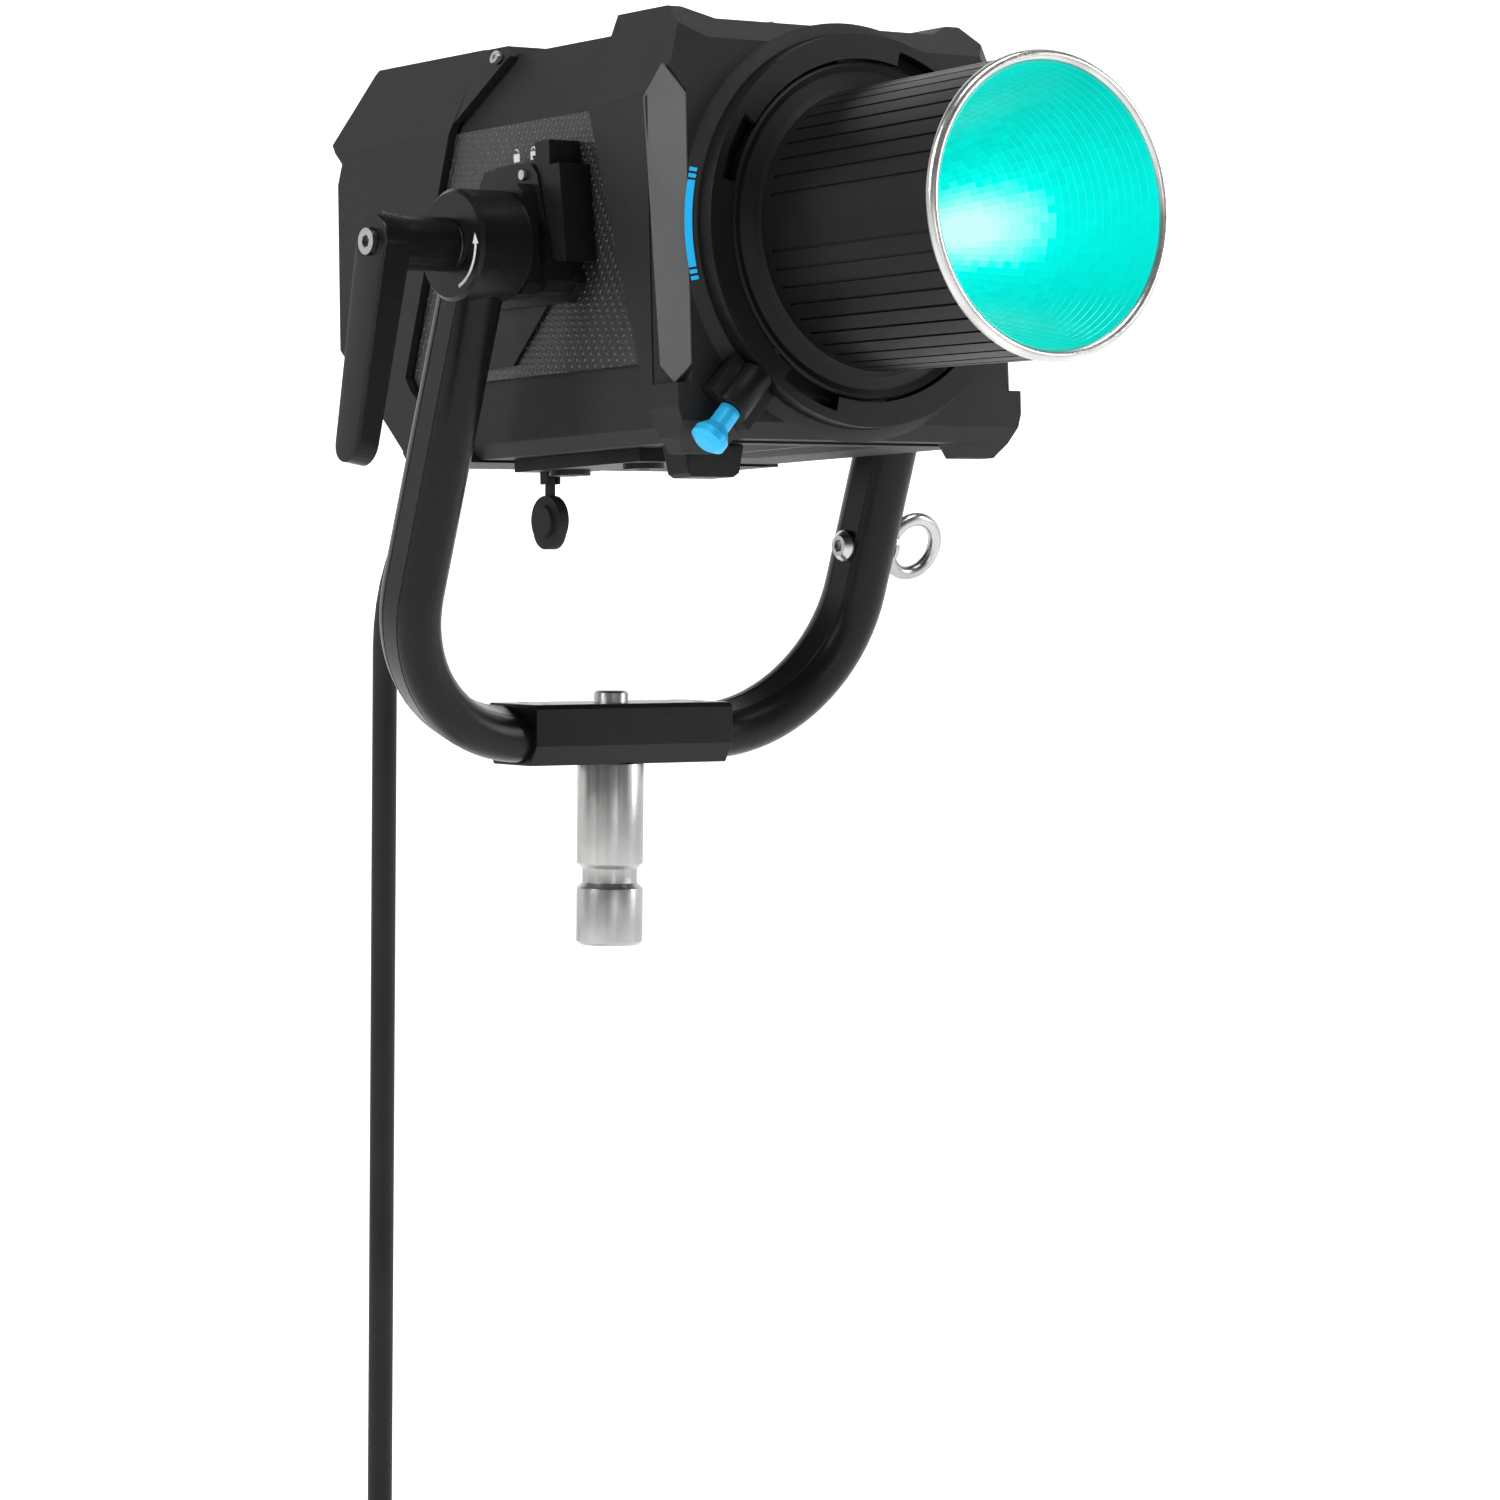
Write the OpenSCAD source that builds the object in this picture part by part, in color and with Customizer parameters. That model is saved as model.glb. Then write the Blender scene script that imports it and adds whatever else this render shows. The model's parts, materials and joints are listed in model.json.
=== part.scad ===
// Studio LED spotlight head with a reflector, on a tilting yoke with a junior spigot.
// Origin: centre of the spigot's shoulder. +Z up, the light shines towards -Y,
// and the tilt axis lies along X.

/* [Yoke] */
// Distance between the centre lines of the two yoke arms
arm_span = 232; // [224:1:280]
// Height of the tilt axis above the spigot's shoulder
pivot_h = 214.6; // [206:0.2:280]
// Distance of the tilt axis in front of the spigot
pivot_fwd = 68; // [20:1:90]
// Width of the yoke tube, front to back
tube_w = 31; // [26:0.5:34]
// Thickness of the yoke tube, inside face to outside face
tube_t = 20; // [16:0.5:22]
// Wall of the yoke tube
tube_wall = 3; // [2:0.5:5]
// Bend radius of the yoke tube, at its centre line
bend_r = 66; // [40:1:72]
// Length of the sleeve block along the yoke
sleeve_len = 103; // [60:1:110]
// Width of the sleeve block, front to back
sleeve_w = 37; // [36:0.5:50]
// Height of the sleeve block
sleeve_h = 26; // [25:0.5:40]
// Diameter of the knuckle at the top of each arm
hub_d = 45.6; // [40:0.2:60]
// Length of the knuckle along the tilt axis
hub_len = 23.4; // [22:0.2:40]

/* [Spigot] */
// Diameter of the junior spigot
spigot_d = 28.6; // [28:0.1:30]
// Length of the junior spigot below its shoulder
spigot_len = 78; // [60:1:100]
// Diameter of the stud through the sleeve block
stud_d = 14.8; // [12:0.1:18]
// Height of the stud's end above the sleeve block
stud_top = 5; // [3:0.5:12]
// Depth of the safety groove round the spigot
groove_depth = 2.4; // [1:0.1:4]

/* [Safety eye] */
// Height of the eye bolt along the arm, from the bottom of the yoke
eye_h = 85; // [74:1:120]
// Inside diameter of the eye
eye_id = 19; // [14:0.5:30]
// Diameter of the eye's wire
eye_wire = 6; // [4:0.5:8]

/* [Lamp head] */
// Upward tilt of the head at rest, in degrees
head_tilt = 2.9; // [0:0.1:10]
// Width of the middle casing
casing_w = 160; // [150:1:170]
// Height of the middle casing's top above the tilt axis
casing_top = 84.5; // [80:0.5:100]
// Depth of the middle casing's bottom below the tilt axis
casing_bottom = 83; // [78:0.5:100]
// Height above the tilt axis where the sides start to lean in
shoulder_h = 54; // [40:1:60]
// Wall of the middle casing
casing_wall = 3; // [2:0.5:5]
// Width of the front bezel
bezel_w = 176; // [174:1:184]
// Distance from the tilt axis to the face of the front bezel
bezel_front = 95; // [92:1:130]
// Distance from the tilt axis to the back of the rear cover
cover_back = 154; // [150:1:200]
// Width of the rear cover
cover_w = 169; // [166:1:174]

/* [Front mount] */
// Height of the optical axis above the tilt axis
optic_h = 1.5; // [0:0.1:6]
// Outside diameter of the mount ring
ring_d = 158.4; // [152:0.2:162]
// Diameter of the opening in the mount ring
ring_bore_d = 138; // [130:0.5:144]
// How far the mount ring stands out of the bezel's face
ring_proud = 12; // [8:0.5:16]
// Clear diameter of the light's opening
port_d = 62; // [50:1:80]

/* [Reflector] */
// Outside diameter of the reflector's flange
flange_d = 136; // [128:0.5:142]
// Outside diameter of the barrel where it leaves the flange
barrel_d = 114; // [100:1:118]
// Outside diameter of the bright rim
rim_d = 121; // [112:0.5:130]
// Length of the reflector in front of the mount ring
barrel_len = 115; // [80:1:160]
// Number of ribs round the barrel
rib_count = 48; // [24:4:72]
// Diameter of the bowl at its mouth
bowl_d = 111; // [100:0.5:114]
// Diameter of the bowl's throat
throat_d = 52; // [40:1:60]

/* [Tilt clamp] */
// Diameter of the tilt stud
tilt_stud_d = 14; // [10:0.5:16]
// Length of the lever handle, from its axis to its tip
lever_len = 82; // [60:1:120]
// Diameter of the lever's boss
lever_boss_d = 22; // [18:0.5:28]
// Length of the lever's boss along the tilt axis
lever_boss_len = 36; // [28:1:50]
// Distance the lever lifts off its splines
lever_lift = 5; // [3:0.5:8]

/* [Release pin] */
// Diameter of the release pin
pin_d = 5; // [4:0.5:7]
// Diameter of the release knob
pin_knob_d = 15; // [12:0.5:20]

/* [Power lead] */
// Diameter of the lead
cord_d = 11; // [11:0.5:11]
// Mean diameter of the coil of spare lead
coil_d = 150; // [140:1:180]

/* [Hidden] */
$fn = 48;

// Clearances
fit = 0.15;        // between parts that are fastened together
run = 0.05;        // radial, between a shaft and its bore
gap = 0.3;         // between faces that move past each other
eps = 0.01;        // overlap of a cutting shape with the face it cuts

// Yoke
yoke_base = sleeve_h / 2;
lean = atan(pivot_fwd / (pivot_h - yoke_base));
arm_len = sqrt(pow(pivot_fwd, 2) + pow(pivot_h - yoke_base, 2));
arm_x = arm_span / 2;
hub_out = arm_x + tube_t / 2 + 4.3;
hub_in = hub_out - hub_len;
sleeve_bevel = 8.5;
sleeve_chamfer = 2;
sleeve_screw_d = 4;
sleeve_screw_low = yoke_base + tube_t / 2 + (tube_w - tube_t) / 2 * sin(lean) + fit;
bush_wall = 2;
disc_t = 2;
disc_d = hub_d - 1.6;
eye_shank_d = 8;
eye_clear = 2;

// Tilt clamp
stud_thread_d = 10;
stud_nose = 5.5;                         // length of the stud's thread outside the hub
insert_x = -(hub_out + gap);
insert_len = 14;
insert_bore = stud_thread_d + 0.4;
insert_depth = 10.4;
handle_x = -(hub_out + 2);
lever_screw_d = 5.6;
lever_screw_from = insert_depth - (insert_x - handle_x) + 0.8;
lever_seat = lever_boss_len - 12;        // floor of the boss's counterbore, under the spring

// Lamp head
side_lean = 0.351;                       // how fast the upper sides lean in
front_rise = 0.747;                      // slope of the bezel's top and bottom facets
neck_step = 2;                           // step of the casing where the bezel slides on
bezel_h = 76.7;                          // top edge of the bezel's flat face
bezel_low = 75.5;                        // bottom edge of the bezel's flat face
pillar_top = casing_top + 6.7;
bezel_mid = casing_top + 1.9;
bezel_mid_low = casing_bottom - 1;
foot_low = casing_bottom + 5;
accent_in = bezel_w / 2 - 6.5;
accent_back = 17;                        // depth of the accent facet along the side
accent_top = shoulder_h;
accent_low = -53;
accent_t = 1.4;
cover_top = casing_top + 3.8;
cover_low = casing_bottom + 1;
cover_join = 57;
cover_wall = 3;
cut_depth = 47;                          // sloping face under the back, front to back
cut_low = cover_low - 7;                 // depth of its bottom edge below the tilt axis
cut_high = 31;                           // and of its top edge
visor = 4.6;
seam = 1.2;                              // dark gap in front of the rear cover
panel_t = 1.4;
ring_face = bezel_front + ring_proud;
ring_t = 8;
lug_angles = [65, 155, 245, 335];
lug_span = 22;
lug_depth = 6;
lock_turn = 25;                          // how far the reflector turns to lock
flange_t = 6;
glass_t = 3;
casing_front = bezel_front - 5;

// Brackets
bracket_base = casing_w / 2 + panel_t + 0.2;
bracket_face = hub_in - disc_t - gap;
plate_face = bracket_face - 7;
rail_face = plate_face - 1;

// Electronics
led_y = -64;
sink_len = 84;
fan_y = 66;
fan_d = 64;
fan_x = 36;
fan_t = 20;

// Reflector
bowl_wall = 1.2;
rim_t = 4.5;
mouth_y = -(ring_face + barrel_len);

// Release pin
pin_angle = 227;
pin_y = -(ring_face - 4.2);
pin_inner = flange_d / 2 - 3;
pin_boss_r = 100;
pin_boss_in = ring_d / 2 + 1;
pin_knob_r = pin_boss_r + 16;

// Power lead, in round numbers
inlet_y = cover_back - cut_depth / 2 + 0.5;
inlet_z = -(cut_high + cut_low) / 2 + 0.5;
inlet_tilt = 45;
inlet_d = 30;
connector_len = 42;
lead_x = -30;
lead_run = 32;                           // straight part behind the connector
lead_bend = 80;                          // radius of the bend into the vertical
lead_low = -350;                         // height where the lead turns into the coil
coil_bend = 48;                          // radius of that turn
coil_turn = 70;                          // angle of that turn
lead_dir = inlet_tilt + head_tilt;
lead_start = [
  lead_x,
  (inlet_y + connector_len * cos(inlet_tilt)) * cos(head_tilt)
    + (inlet_z - connector_len * sin(inlet_tilt)) * sin(head_tilt) - pivot_fwd
    + gap * cos(lead_dir),
  (inlet_z - connector_len * sin(inlet_tilt)) * cos(head_tilt)
    - (inlet_y + connector_len * cos(inlet_tilt)) * sin(head_tilt) + pivot_h
    - gap * sin(lead_dir)
];
bend_start = lead_start + lead_run * [0, cos(lead_dir), -sin(lead_dir)];
lead_y = bend_start[1] + lead_bend * (1 - sin(lead_dir));
bend_points = [for (a = [lead_dir : (90 - lead_dir) / 5 : 90.01])
  bend_start + lead_bend * [0, sin(a) - sin(lead_dir), cos(a) - cos(lead_dir)]];
fall_points = [for (z = [0 : -50 : lead_low + 20]) [lead_x, lead_y, z]];
turn_points = [for (a = [0 : coil_turn / 6 : coil_turn + 0.01])
  [lead_x, lead_y + coil_bend * (1 - cos(a)), lead_low - coil_bend * sin(a)]];
lead_points = concat([lead_start], bend_points, fall_points, turn_points);
lead_sides = 10;
coil_bundle = 3 * cord_d;
outer_turn = coil_d / 2 + cord_d;
coil_y = turn_points[6][1] - outer_turn * cos(coil_turn);
coil_z = turn_points[6][2] - outer_turn * sin(coil_turn);

// Places the children in the leaning plane of the yoke: X along the tilt axis,
// Z up the arms, the origin at the middle of the yoke's bottom
module on_yoke() {
  translate([0, 0, yoke_base]) rotate([lean, 0, 0]) children();
}

// Places the children in the lamp head: the origin on the tilt axis, -Y forwards
module on_head() {
  translate([0, -pivot_fwd, pivot_h]) rotate([-head_tilt, 0, 0]) children();
}

// Places the children on the optical axis of the head, their +Z pointing forwards
module on_optic(y) {
  translate([0, y, optic_h]) rotate([90, 0, 0]) children();
}

// Turns the children so that their +Z points along X, to the given side
module along_x(side) {
  rotate([0, 90 * side, 0]) children();
}

module bored(d_out, d_in, h) {
  difference() {
    cylinder(d = d_out, h = h);
    translate([0, 0, -1]) cylinder(d = d_in, h = h + 2);
  }
}

// A plate whose outline lies in the head's side view, [y, z], from x0 to x1
module side_plate(outline, x0, x1) {
  translate([x0, 0, 0]) rotate([90, 0, 90]) linear_extrude(x1 - x0) polygon(outline);
}

// A plate whose outline lies in the head's front view, [x, z], from y0 to y1
module front_plate(outline, y0, y1) {
  translate([0, y1, 0]) rotate([90, 0, 0]) linear_extrude(y1 - y0) polygon(outline);
}

// Pan-head screw whose head sits on the origin, its shank along -Z
module pan_screw(d, len) {
  difference() {
    union() {
      cylinder(d = d * 1.9, h = d * 0.55);
      translate([0, 0, -len]) cylinder(d = d, h = len + eps);
    }
    translate([0, 0, d * 0.2]) cylinder(d = d * 0.8, h = d, $fn = 6);
  }
}

// ---- Yoke ----

module tube_outline(inset) {
  r = tube_t / 2 - inset;
  flat = tube_w - tube_t;
  union() {
    square([2 * r, flat], center = true);
    for (s = [-1, 1]) translate([0, s * flat / 2]) circle(r = r);
  }
}

// Solid of the bent yoke bar, its faces inset from the outside, its arms longer by extra
module yoke_bar(inset, extra) {
  straight = arm_x - bend_r;
  translate([-straight, 0, 0]) rotate([0, 90, 0]) linear_extrude(2 * straight)
    tube_outline(inset);
  for (s = [-1, 1]) {
    translate([s * arm_x, 0, bend_r]) linear_extrude(arm_len - bend_r + extra)
      tube_outline(inset);
    translate([s * straight, 0, bend_r]) rotate([90, 0, 0]) rotate([0, 0, s > 0 ? -90 : 180])
      rotate_extrude(angle = 90, $fn = 72) translate([bend_r, 0]) tube_outline(inset);
  }
}

module yoke_tube() {
  color("#1b1b1d") on_yoke() difference() {
    yoke_bar(0, 0);
    yoke_bar(tube_wall, 1);
    translate([0, 0, arm_len]) rotate([0, 90, 0])
      cylinder(d = hub_d + 2 * fit, h = 2 * arm_span, center = true);
    translate([arm_x, 0, eye_h]) rotate([0, 90, 0])
      cylinder(d = eye_shank_d + 2 * fit, h = 2 * tube_w, center = true);
    rotate([-lean, 0, 0]) cylinder(d = stud_d + 2 * fit, h = 4 * tube_t, center = true);
  }
}

module yoke_hub(side) {
  color("#202022") on_yoke() translate([side * hub_in, 0, arm_len]) along_x(side)
    difference() {
      union() {
        cylinder(d = hub_d, h = hub_len - 1.5);
        translate([0, 0, hub_len - 1.5 - eps]) cylinder(d1 = hub_d, d2 = hub_d - 3, h = 1.5);
      }
      translate([0, 0, -1])
        cylinder(d = tilt_stud_d + 2 * bush_wall + 2 * fit, h = hub_len + 2);
    }
}

module sleeve_block() {
  w = sleeve_w / 2;
  c = sleeve_chamfer;
  outline = [
    [-w + 5, 0], [w - 5, 0], [w, sleeve_bevel], [w, sleeve_h - c], [w - c, sleeve_h],
    [-w + c, sleeve_h], [-w, sleeve_h - c], [-w, sleeve_bevel]
  ];
  color("#1b1b1d") difference() {
    side_plate(outline, -sleeve_len / 2, sleeve_len / 2);
    translate([0, 0, yoke_base]) rotate([lean, 0, 0]) rotate([0, 90, 0])
      linear_extrude(2 * sleeve_len, center = true) tube_outline(-fit);
    translate([0, 0, -1]) cylinder(d = stud_d + 2 * fit, h = sleeve_h + 2);
    for (s = [-1, 1], t = [-1, 1])
      translate([s * sleeve_len * 0.39, t * sleeve_w * 0.24, sleeve_h / 2])
        cylinder(d = sleeve_screw_d + 2 * fit, h = sleeve_h);
  }
}

module sleeve_screws() {
  len = sleeve_h - 0.1 - sleeve_screw_low;
  color("#2a2a2c") for (s = [-1, 1], t = [-1, 1])
    translate([s * sleeve_len * 0.39, t * sleeve_w * 0.24, sleeve_screw_low]) difference() {
      cylinder(d = sleeve_screw_d, h = len);
      translate([0, 0, len - 0.6]) cylinder(d = sleeve_screw_d * 0.5, h = 2, $fn = 6);
    }
}

module spigot() {
  shoulder = 1.5;
  groove_z = spigot_len * 0.55;
  profile = [
    [0, sleeve_h + stud_top], [stud_d / 2 - 1, sleeve_h + stud_top],
    [stud_d / 2, sleeve_h + stud_top - 1], [stud_d / 2, -fit], [spigot_d / 2, -fit],
    [spigot_d / 2, -groove_z], [spigot_d / 2 - groove_depth, -groove_z - groove_depth],
    [spigot_d / 2 - groove_depth, -groove_z - groove_depth - 6],
    [spigot_d / 2, -groove_z - 2 * groove_depth - 6],
    [spigot_d / 2, -spigot_len + shoulder], [spigot_d / 2 - shoulder, -spigot_len],
    [0, -spigot_len]
  ];
  color("silver") rotate_extrude($fn = 64) polygon(profile);
}

// The eye's ring stands outside the right arm, its shank goes through the tube
module eye_bolt() {
  ring_r = eye_id / 2 + eye_wire / 2;
  face = arm_x + tube_t / 2;
  color("silver") on_yoke() translate([0, 0, eye_h]) union() {
    translate([face + eye_clear, 0, 0]) rotate([0, 90, 0]) cylinder(d = 15, h = 2);
    translate([face + eye_clear + ring_r + 2, 0, 0]) rotate([90, 0, 0])
      rotate_extrude() translate([ring_r, 0]) circle(d = eye_wire);
    translate([arm_x - tube_t / 2 + 1, 0, 0]) rotate([0, 90, 0])
      cylinder(d = eye_shank_d, h = tube_t + eye_clear);
    translate([face + fit, 0, 0]) rotate([0, 90, 0]) cylinder(d = 12, h = eye_clear);
  }
}

module eye_bolt_screw() {
  color("silver") on_yoke() translate([arm_x - tube_t / 2 - fit, 0, eye_h])
    rotate([0, -90, 0]) difference() {
      union() {
        cylinder(d = 13.5, h = 2);
        translate([0, 0, 2 - eps]) cylinder(d1 = 13.5, d2 = 9, h = 2.4);
      }
      translate([0, 0, 1.4]) cylinder(d = 5.8, h = 4, $fn = 6);
    }
}

module friction_discs() {
  color("#3a3a3c") on_yoke() for (s = [-1, 1])
    translate([s * (hub_in - fit), 0, arm_len]) along_x(-s)
      bored(disc_d, tilt_stud_d + 2 * bush_wall + 2, disc_t - fit);
}

module tilt_bushes() {
  color("#b08d57") on_yoke() for (s = [-1, 1])
    translate([s * (hub_in + 0.5), 0, arm_len]) along_x(s) difference() {
      cylinder(d = tilt_stud_d + 2 * bush_wall, h = hub_len - 1);
      translate([0, 0, -1]) cylinder(d = tilt_stud_d + 2 * run, h = hub_len + 2);
    }
}

// ---- Tilt clamp ----

// Threaded insert that the lever's splines drive; its nose clamps the hub
module clamp_insert() {
  color("#8c8c90") on_yoke() translate([insert_x, 0, arm_len]) along_x(-1)
    difference() {
      union() {
        cylinder(d = 14, h = insert_len);
        cylinder(d = 19, h = 1.4);
        for (a = [0 : 30 : 330]) rotate([0, 0, a]) translate([6.6, -0.7, 0])
          cube([1.2, 1.4, insert_len]);
      }
      translate([0, 0, -1]) cylinder(d = insert_bore, h = insert_depth + 1);
      cylinder(d = lever_screw_d + 2 * fit, h = insert_len + 1);
    }
}

module lever_handle() {
  out = 14;                              // how far the tip leans away from the lamp
  arm_t = 12;
  tip_d = 18;
  arm_tilt = atan(out / lever_len);
  spline_bore = 16.2;
  color("#1b1b1d") on_yoke() translate([handle_x, 0, arm_len]) rotate([-lean, 0, 0])
    difference() {
      union() {
        along_x(-1) cylinder(d = lever_boss_d, h = lever_boss_len);
        translate([-lever_boss_len + arm_t, 0, 0]) rotate([0, arm_tilt, 0]) hull() {
          along_x(-1) cylinder(d = lever_boss_d, h = arm_t, $fn = 32);
          translate([0, 0, -lever_len]) along_x(-1) cylinder(d = tip_d, h = arm_t - 3, $fn = 32);
        }
      }
      translate([1, 0, 0]) along_x(-1) cylinder(d = spline_bore, h = insert_len + lever_lift + 2);
      along_x(-1) cylinder(d = lever_screw_d + 0.8, h = lever_boss_len);
      translate([-lever_seat, 0, 0]) along_x(-1) cylinder(d = 11.4, h = 30);
    }
}

module lever_screw() {
  color("silver") on_yoke() translate([handle_x, 0, arm_len]) along_x(-1)
    difference() {
      union() {
        translate([0, 0, lever_boss_len - 2.8]) cylinder(d = 10.7, h = 5.8);
        translate([0, 0, lever_screw_from])
          cylinder(d = lever_screw_d, h = lever_boss_len - 2 - lever_screw_from);
      }
      translate([0, 0, lever_boss_len]) cylinder(d = 5.4, h = 6, $fn = 6);
    }
}

module lever_spring() {
  turns = 5;
  wire = 0.9;
  len = 12 - 2.8 - wire - 0.4;
  color("#9a9aa0") on_yoke() translate([handle_x, 0, arm_len]) along_x(-1)
    translate([0, 0, lever_seat + wire / 2 + 0.2]) for (i = [0 : turns - 1])
      translate([0, 0, i * len / (turns - 1)]) rotate_extrude($fn = 32)
        translate([4.4, 0]) circle(d = wire, $fn = 16);
}

module pivot_cap_right() {
  color("#202022") on_yoke() translate([hub_out + gap, 0, arm_len]) along_x(1)
    difference() {
      union() {
        cylinder(d = 34, h = 4);
        translate([0, 0, 4 - eps]) cylinder(d1 = 34, d2 = 28, h = 3);
      }
      translate([0, 0, 3]) cylinder(d = 10, h = 10, $fn = 6);
      translate([0, 0, -1]) cylinder(d = tilt_stud_d + 2 * fit, h = 3);
    }
}

// ---- Lamp head: casing ----

// Front-view outline of the casing with its faces inset by t
function casing_outline(half_w, top, low, t) =
  let (w = half_w - t, zt = top - t, zb = -low + t, lean_in = (zt - shoulder_h) * side_lean)
  [[w, shoulder_h], [w - lean_in, zt], [-w + lean_in, zt], [-w, shoulder_h],
   [-w, zb + 6], [-w + 4, zb], [w - 4, zb], [w, zb + 6]];

// Side-view outline of the bezel, [y, z], pushed back by g along Y
function bezel_side(g) =
  [[-bezel_front, -bezel_low], [-bezel_front, bezel_h],
   [-bezel_front + (pillar_top - bezel_h) / front_rise, pillar_top],
   [-42 + g, pillar_top], [-38 + g, shoulder_h], [-68 + g, -50], [-78 + g, -casing_bottom],
   [-77 + g, -foot_low], [-86, -foot_low]];

// Front-view outline of the bezel, [x, z]
function bezel_face() =
  let (w = bezel_w / 2, top_in = w - (pillar_top - shoulder_h) * side_lean)
  [[w, shoulder_h], [top_in, pillar_top], [top_in - 7, pillar_top],
   [top_in - 19, bezel_mid], [-top_in + 19, bezel_mid], [-top_in + 7, pillar_top],
   [-top_in, pillar_top], [-w, shoulder_h], [-w, -70], [-w + 3.5, -casing_bottom + 1],
   [-w + 8, -foot_low], [-w + 26, -foot_low], [-w + 31, -bezel_mid_low],
   [w - 31, -bezel_mid_low], [w - 26, -foot_low], [w - 8, -foot_low],
   [w - 3.5, -casing_bottom + 1], [w, -70]];

module middle_casing() {
  half = casing_w / 2;
  wide = casing_outline(half, casing_top, casing_bottom, 0);
  neck = casing_outline(half, casing_top, casing_bottom, neck_step);
  inside = casing_outline(half, casing_top, casing_bottom, neck_step + casing_wall);
  front_window = port_d + 20;
  color("#242426") on_head() difference() {
    union() {
      front_plate(neck, -casing_front + 4, cover_join + 46);
      difference() {
        front_plate(wide, -casing_front + 10, cover_join + 46);
        side_plate(bezel_side(fit + 0.1), -casing_w, casing_w);
        side_plate(cover_side(seam), -casing_w, casing_w);
      }
    }
    front_plate(inside, -casing_front + 4 + casing_wall, cover_join + 60);
    translate([0, 0, optic_h]) rotate([90, 0, 0])
      cylinder(d = front_window, h = 2 * bezel_front);
    for (s = [-1, 1]) translate([s * half, 0, 0]) rotate([0, 90, 0])
      cylinder(d = tilt_stud_d + 2 * fit, h = 30, center = true);
    translate([-46, -70, -casing_bottom - 5]) cube([92, 120, 12]);
  }
}

// Half-space that cuts the facet beside the top of each accent
module corner_facet(side) {
  n = [0.587, 0.753, 0.297];
  mirror([side > 0 ? 1 : 0, 0, 0]) translate([-accent_in, -bezel_front, shoulder_h])
    rotate([0, acos(n[2] / norm(n)), 180 + atan2(n[1], n[0])])
      translate([-60, -60, 0]) cube(120);
}

// Cone on the bezel's face that carries the mount ring, grown by extra
module bezel_cone(extra) {
  on_optic(-bezel_front + eps) cylinder(r1 = ring_d / 2 + 5.5 + extra,
    r2 = ring_d / 2 + 0.6 + extra, h = ring_proud - ring_t);
}

module front_bezel() {
  inner = casing_outline(casing_w / 2, casing_top, casing_bottom, neck_step - fit);
  lip = ring_face - ring_t;
  facet = [[-bezel_w / 2 - 5, -bezel_front - 5], [-accent_in + 0.6, -bezel_front - 5],
           [-accent_in + 0.6, -bezel_front + 0.9], [-bezel_w / 2 + 0.7, -bezel_front + accent_back],
           [-bezel_w / 2 - 5, -bezel_front + accent_back]];
  color("#262628") on_head() difference() {
    union() {
      intersection() {
        side_plate(bezel_side(0), -bezel_w, bezel_w);
        front_plate(bezel_face(), -bezel_front - 5, 0);
      }
      on_optic(-bezel_front + 25) cylinder(d = ring_d - 1, h = 25);
      bezel_cone(0);
    }
    front_plate(inner, -casing_front + 3.7, 20);
    on_optic(0) cylinder(d = port_d + 8, h = 2 * ring_face);
    on_optic(-bezel_front - 1) cylinder(d = ring_bore_d - 6, h = 40);
    on_optic(-lip + 3) cylinder(d = ring_bore_d + 8 + 2 * fit, h = 40);
    for (s = [-1, 1]) {
      corner_facet(s);
      mirror([s > 0 ? 1 : 0, 0, 0]) translate([0, 0, accent_low - 7.5])
        linear_extrude(accent_top + 13 - accent_low + 7.5) polygon(facet);
    }
    on_pin() translate([0, 0, pin_boss_in - 12]) cylinder(d = pin_d + 1, h = 20);
  }
}

// Grey corner trims: a creased face between the bezel's side and its flat front
module bezel_accents() {
  w = bezel_w / 2;
  f = bezel_front;
  t = accent_t;
  face = [
    [-accent_in, -f - 0.3, accent_top], [-w + 1.2, -f + 8, accent_top + 12.5],
    [-w - 0.3, -f + 19, accent_top], [-w - 0.3, -f + 11.5, accent_low],
    [-w + 2, -f + 5, accent_low - 7.5], [-accent_in, -f - 0.3, accent_low]
  ];
  back = [for (p = face) p + [t, t * 0.6, 0]];
  points = concat(face, back);
  n = len(face);
  sides = [for (i = [0 : n - 1]) [i, (i + 1) % n, n + (i + 1) % n, n + i]];
  fan = [[0, 5, 2], [0, 2, 1], [5, 4, 3], [5, 3, 2]];
  under = [for (q = fan) [q[0] + n, q[2] + n, q[1] + n]];
  color("#6d6e70") on_head() for (s = [0, 1]) mirror([s, 0, 0])
    polyhedron(points, concat(fan, under, sides), convexity = 4);
}

// Side-view outline of the rear cover
function cover_side(g) =
  [[cover_join - g, cover_top + 1], [cover_join + 10 - g, shoulder_h],
   [cover_join + 47 - g, -46], [cover_join + 43 - g, -52], [cover_join + 2.5 - g, -cover_low - 1],
   [cover_back - cut_depth + 1, -cover_low - 1], [cover_back - cut_depth, -cut_low],
   [cover_back, -cut_high],
   [cover_back - 1, 40], [cover_back - 4.6, 48.7], [cover_back + visor, 57.7],
   [cover_back - 15, cover_top - 2], [cover_back - 18, cover_top + 1]];

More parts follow.
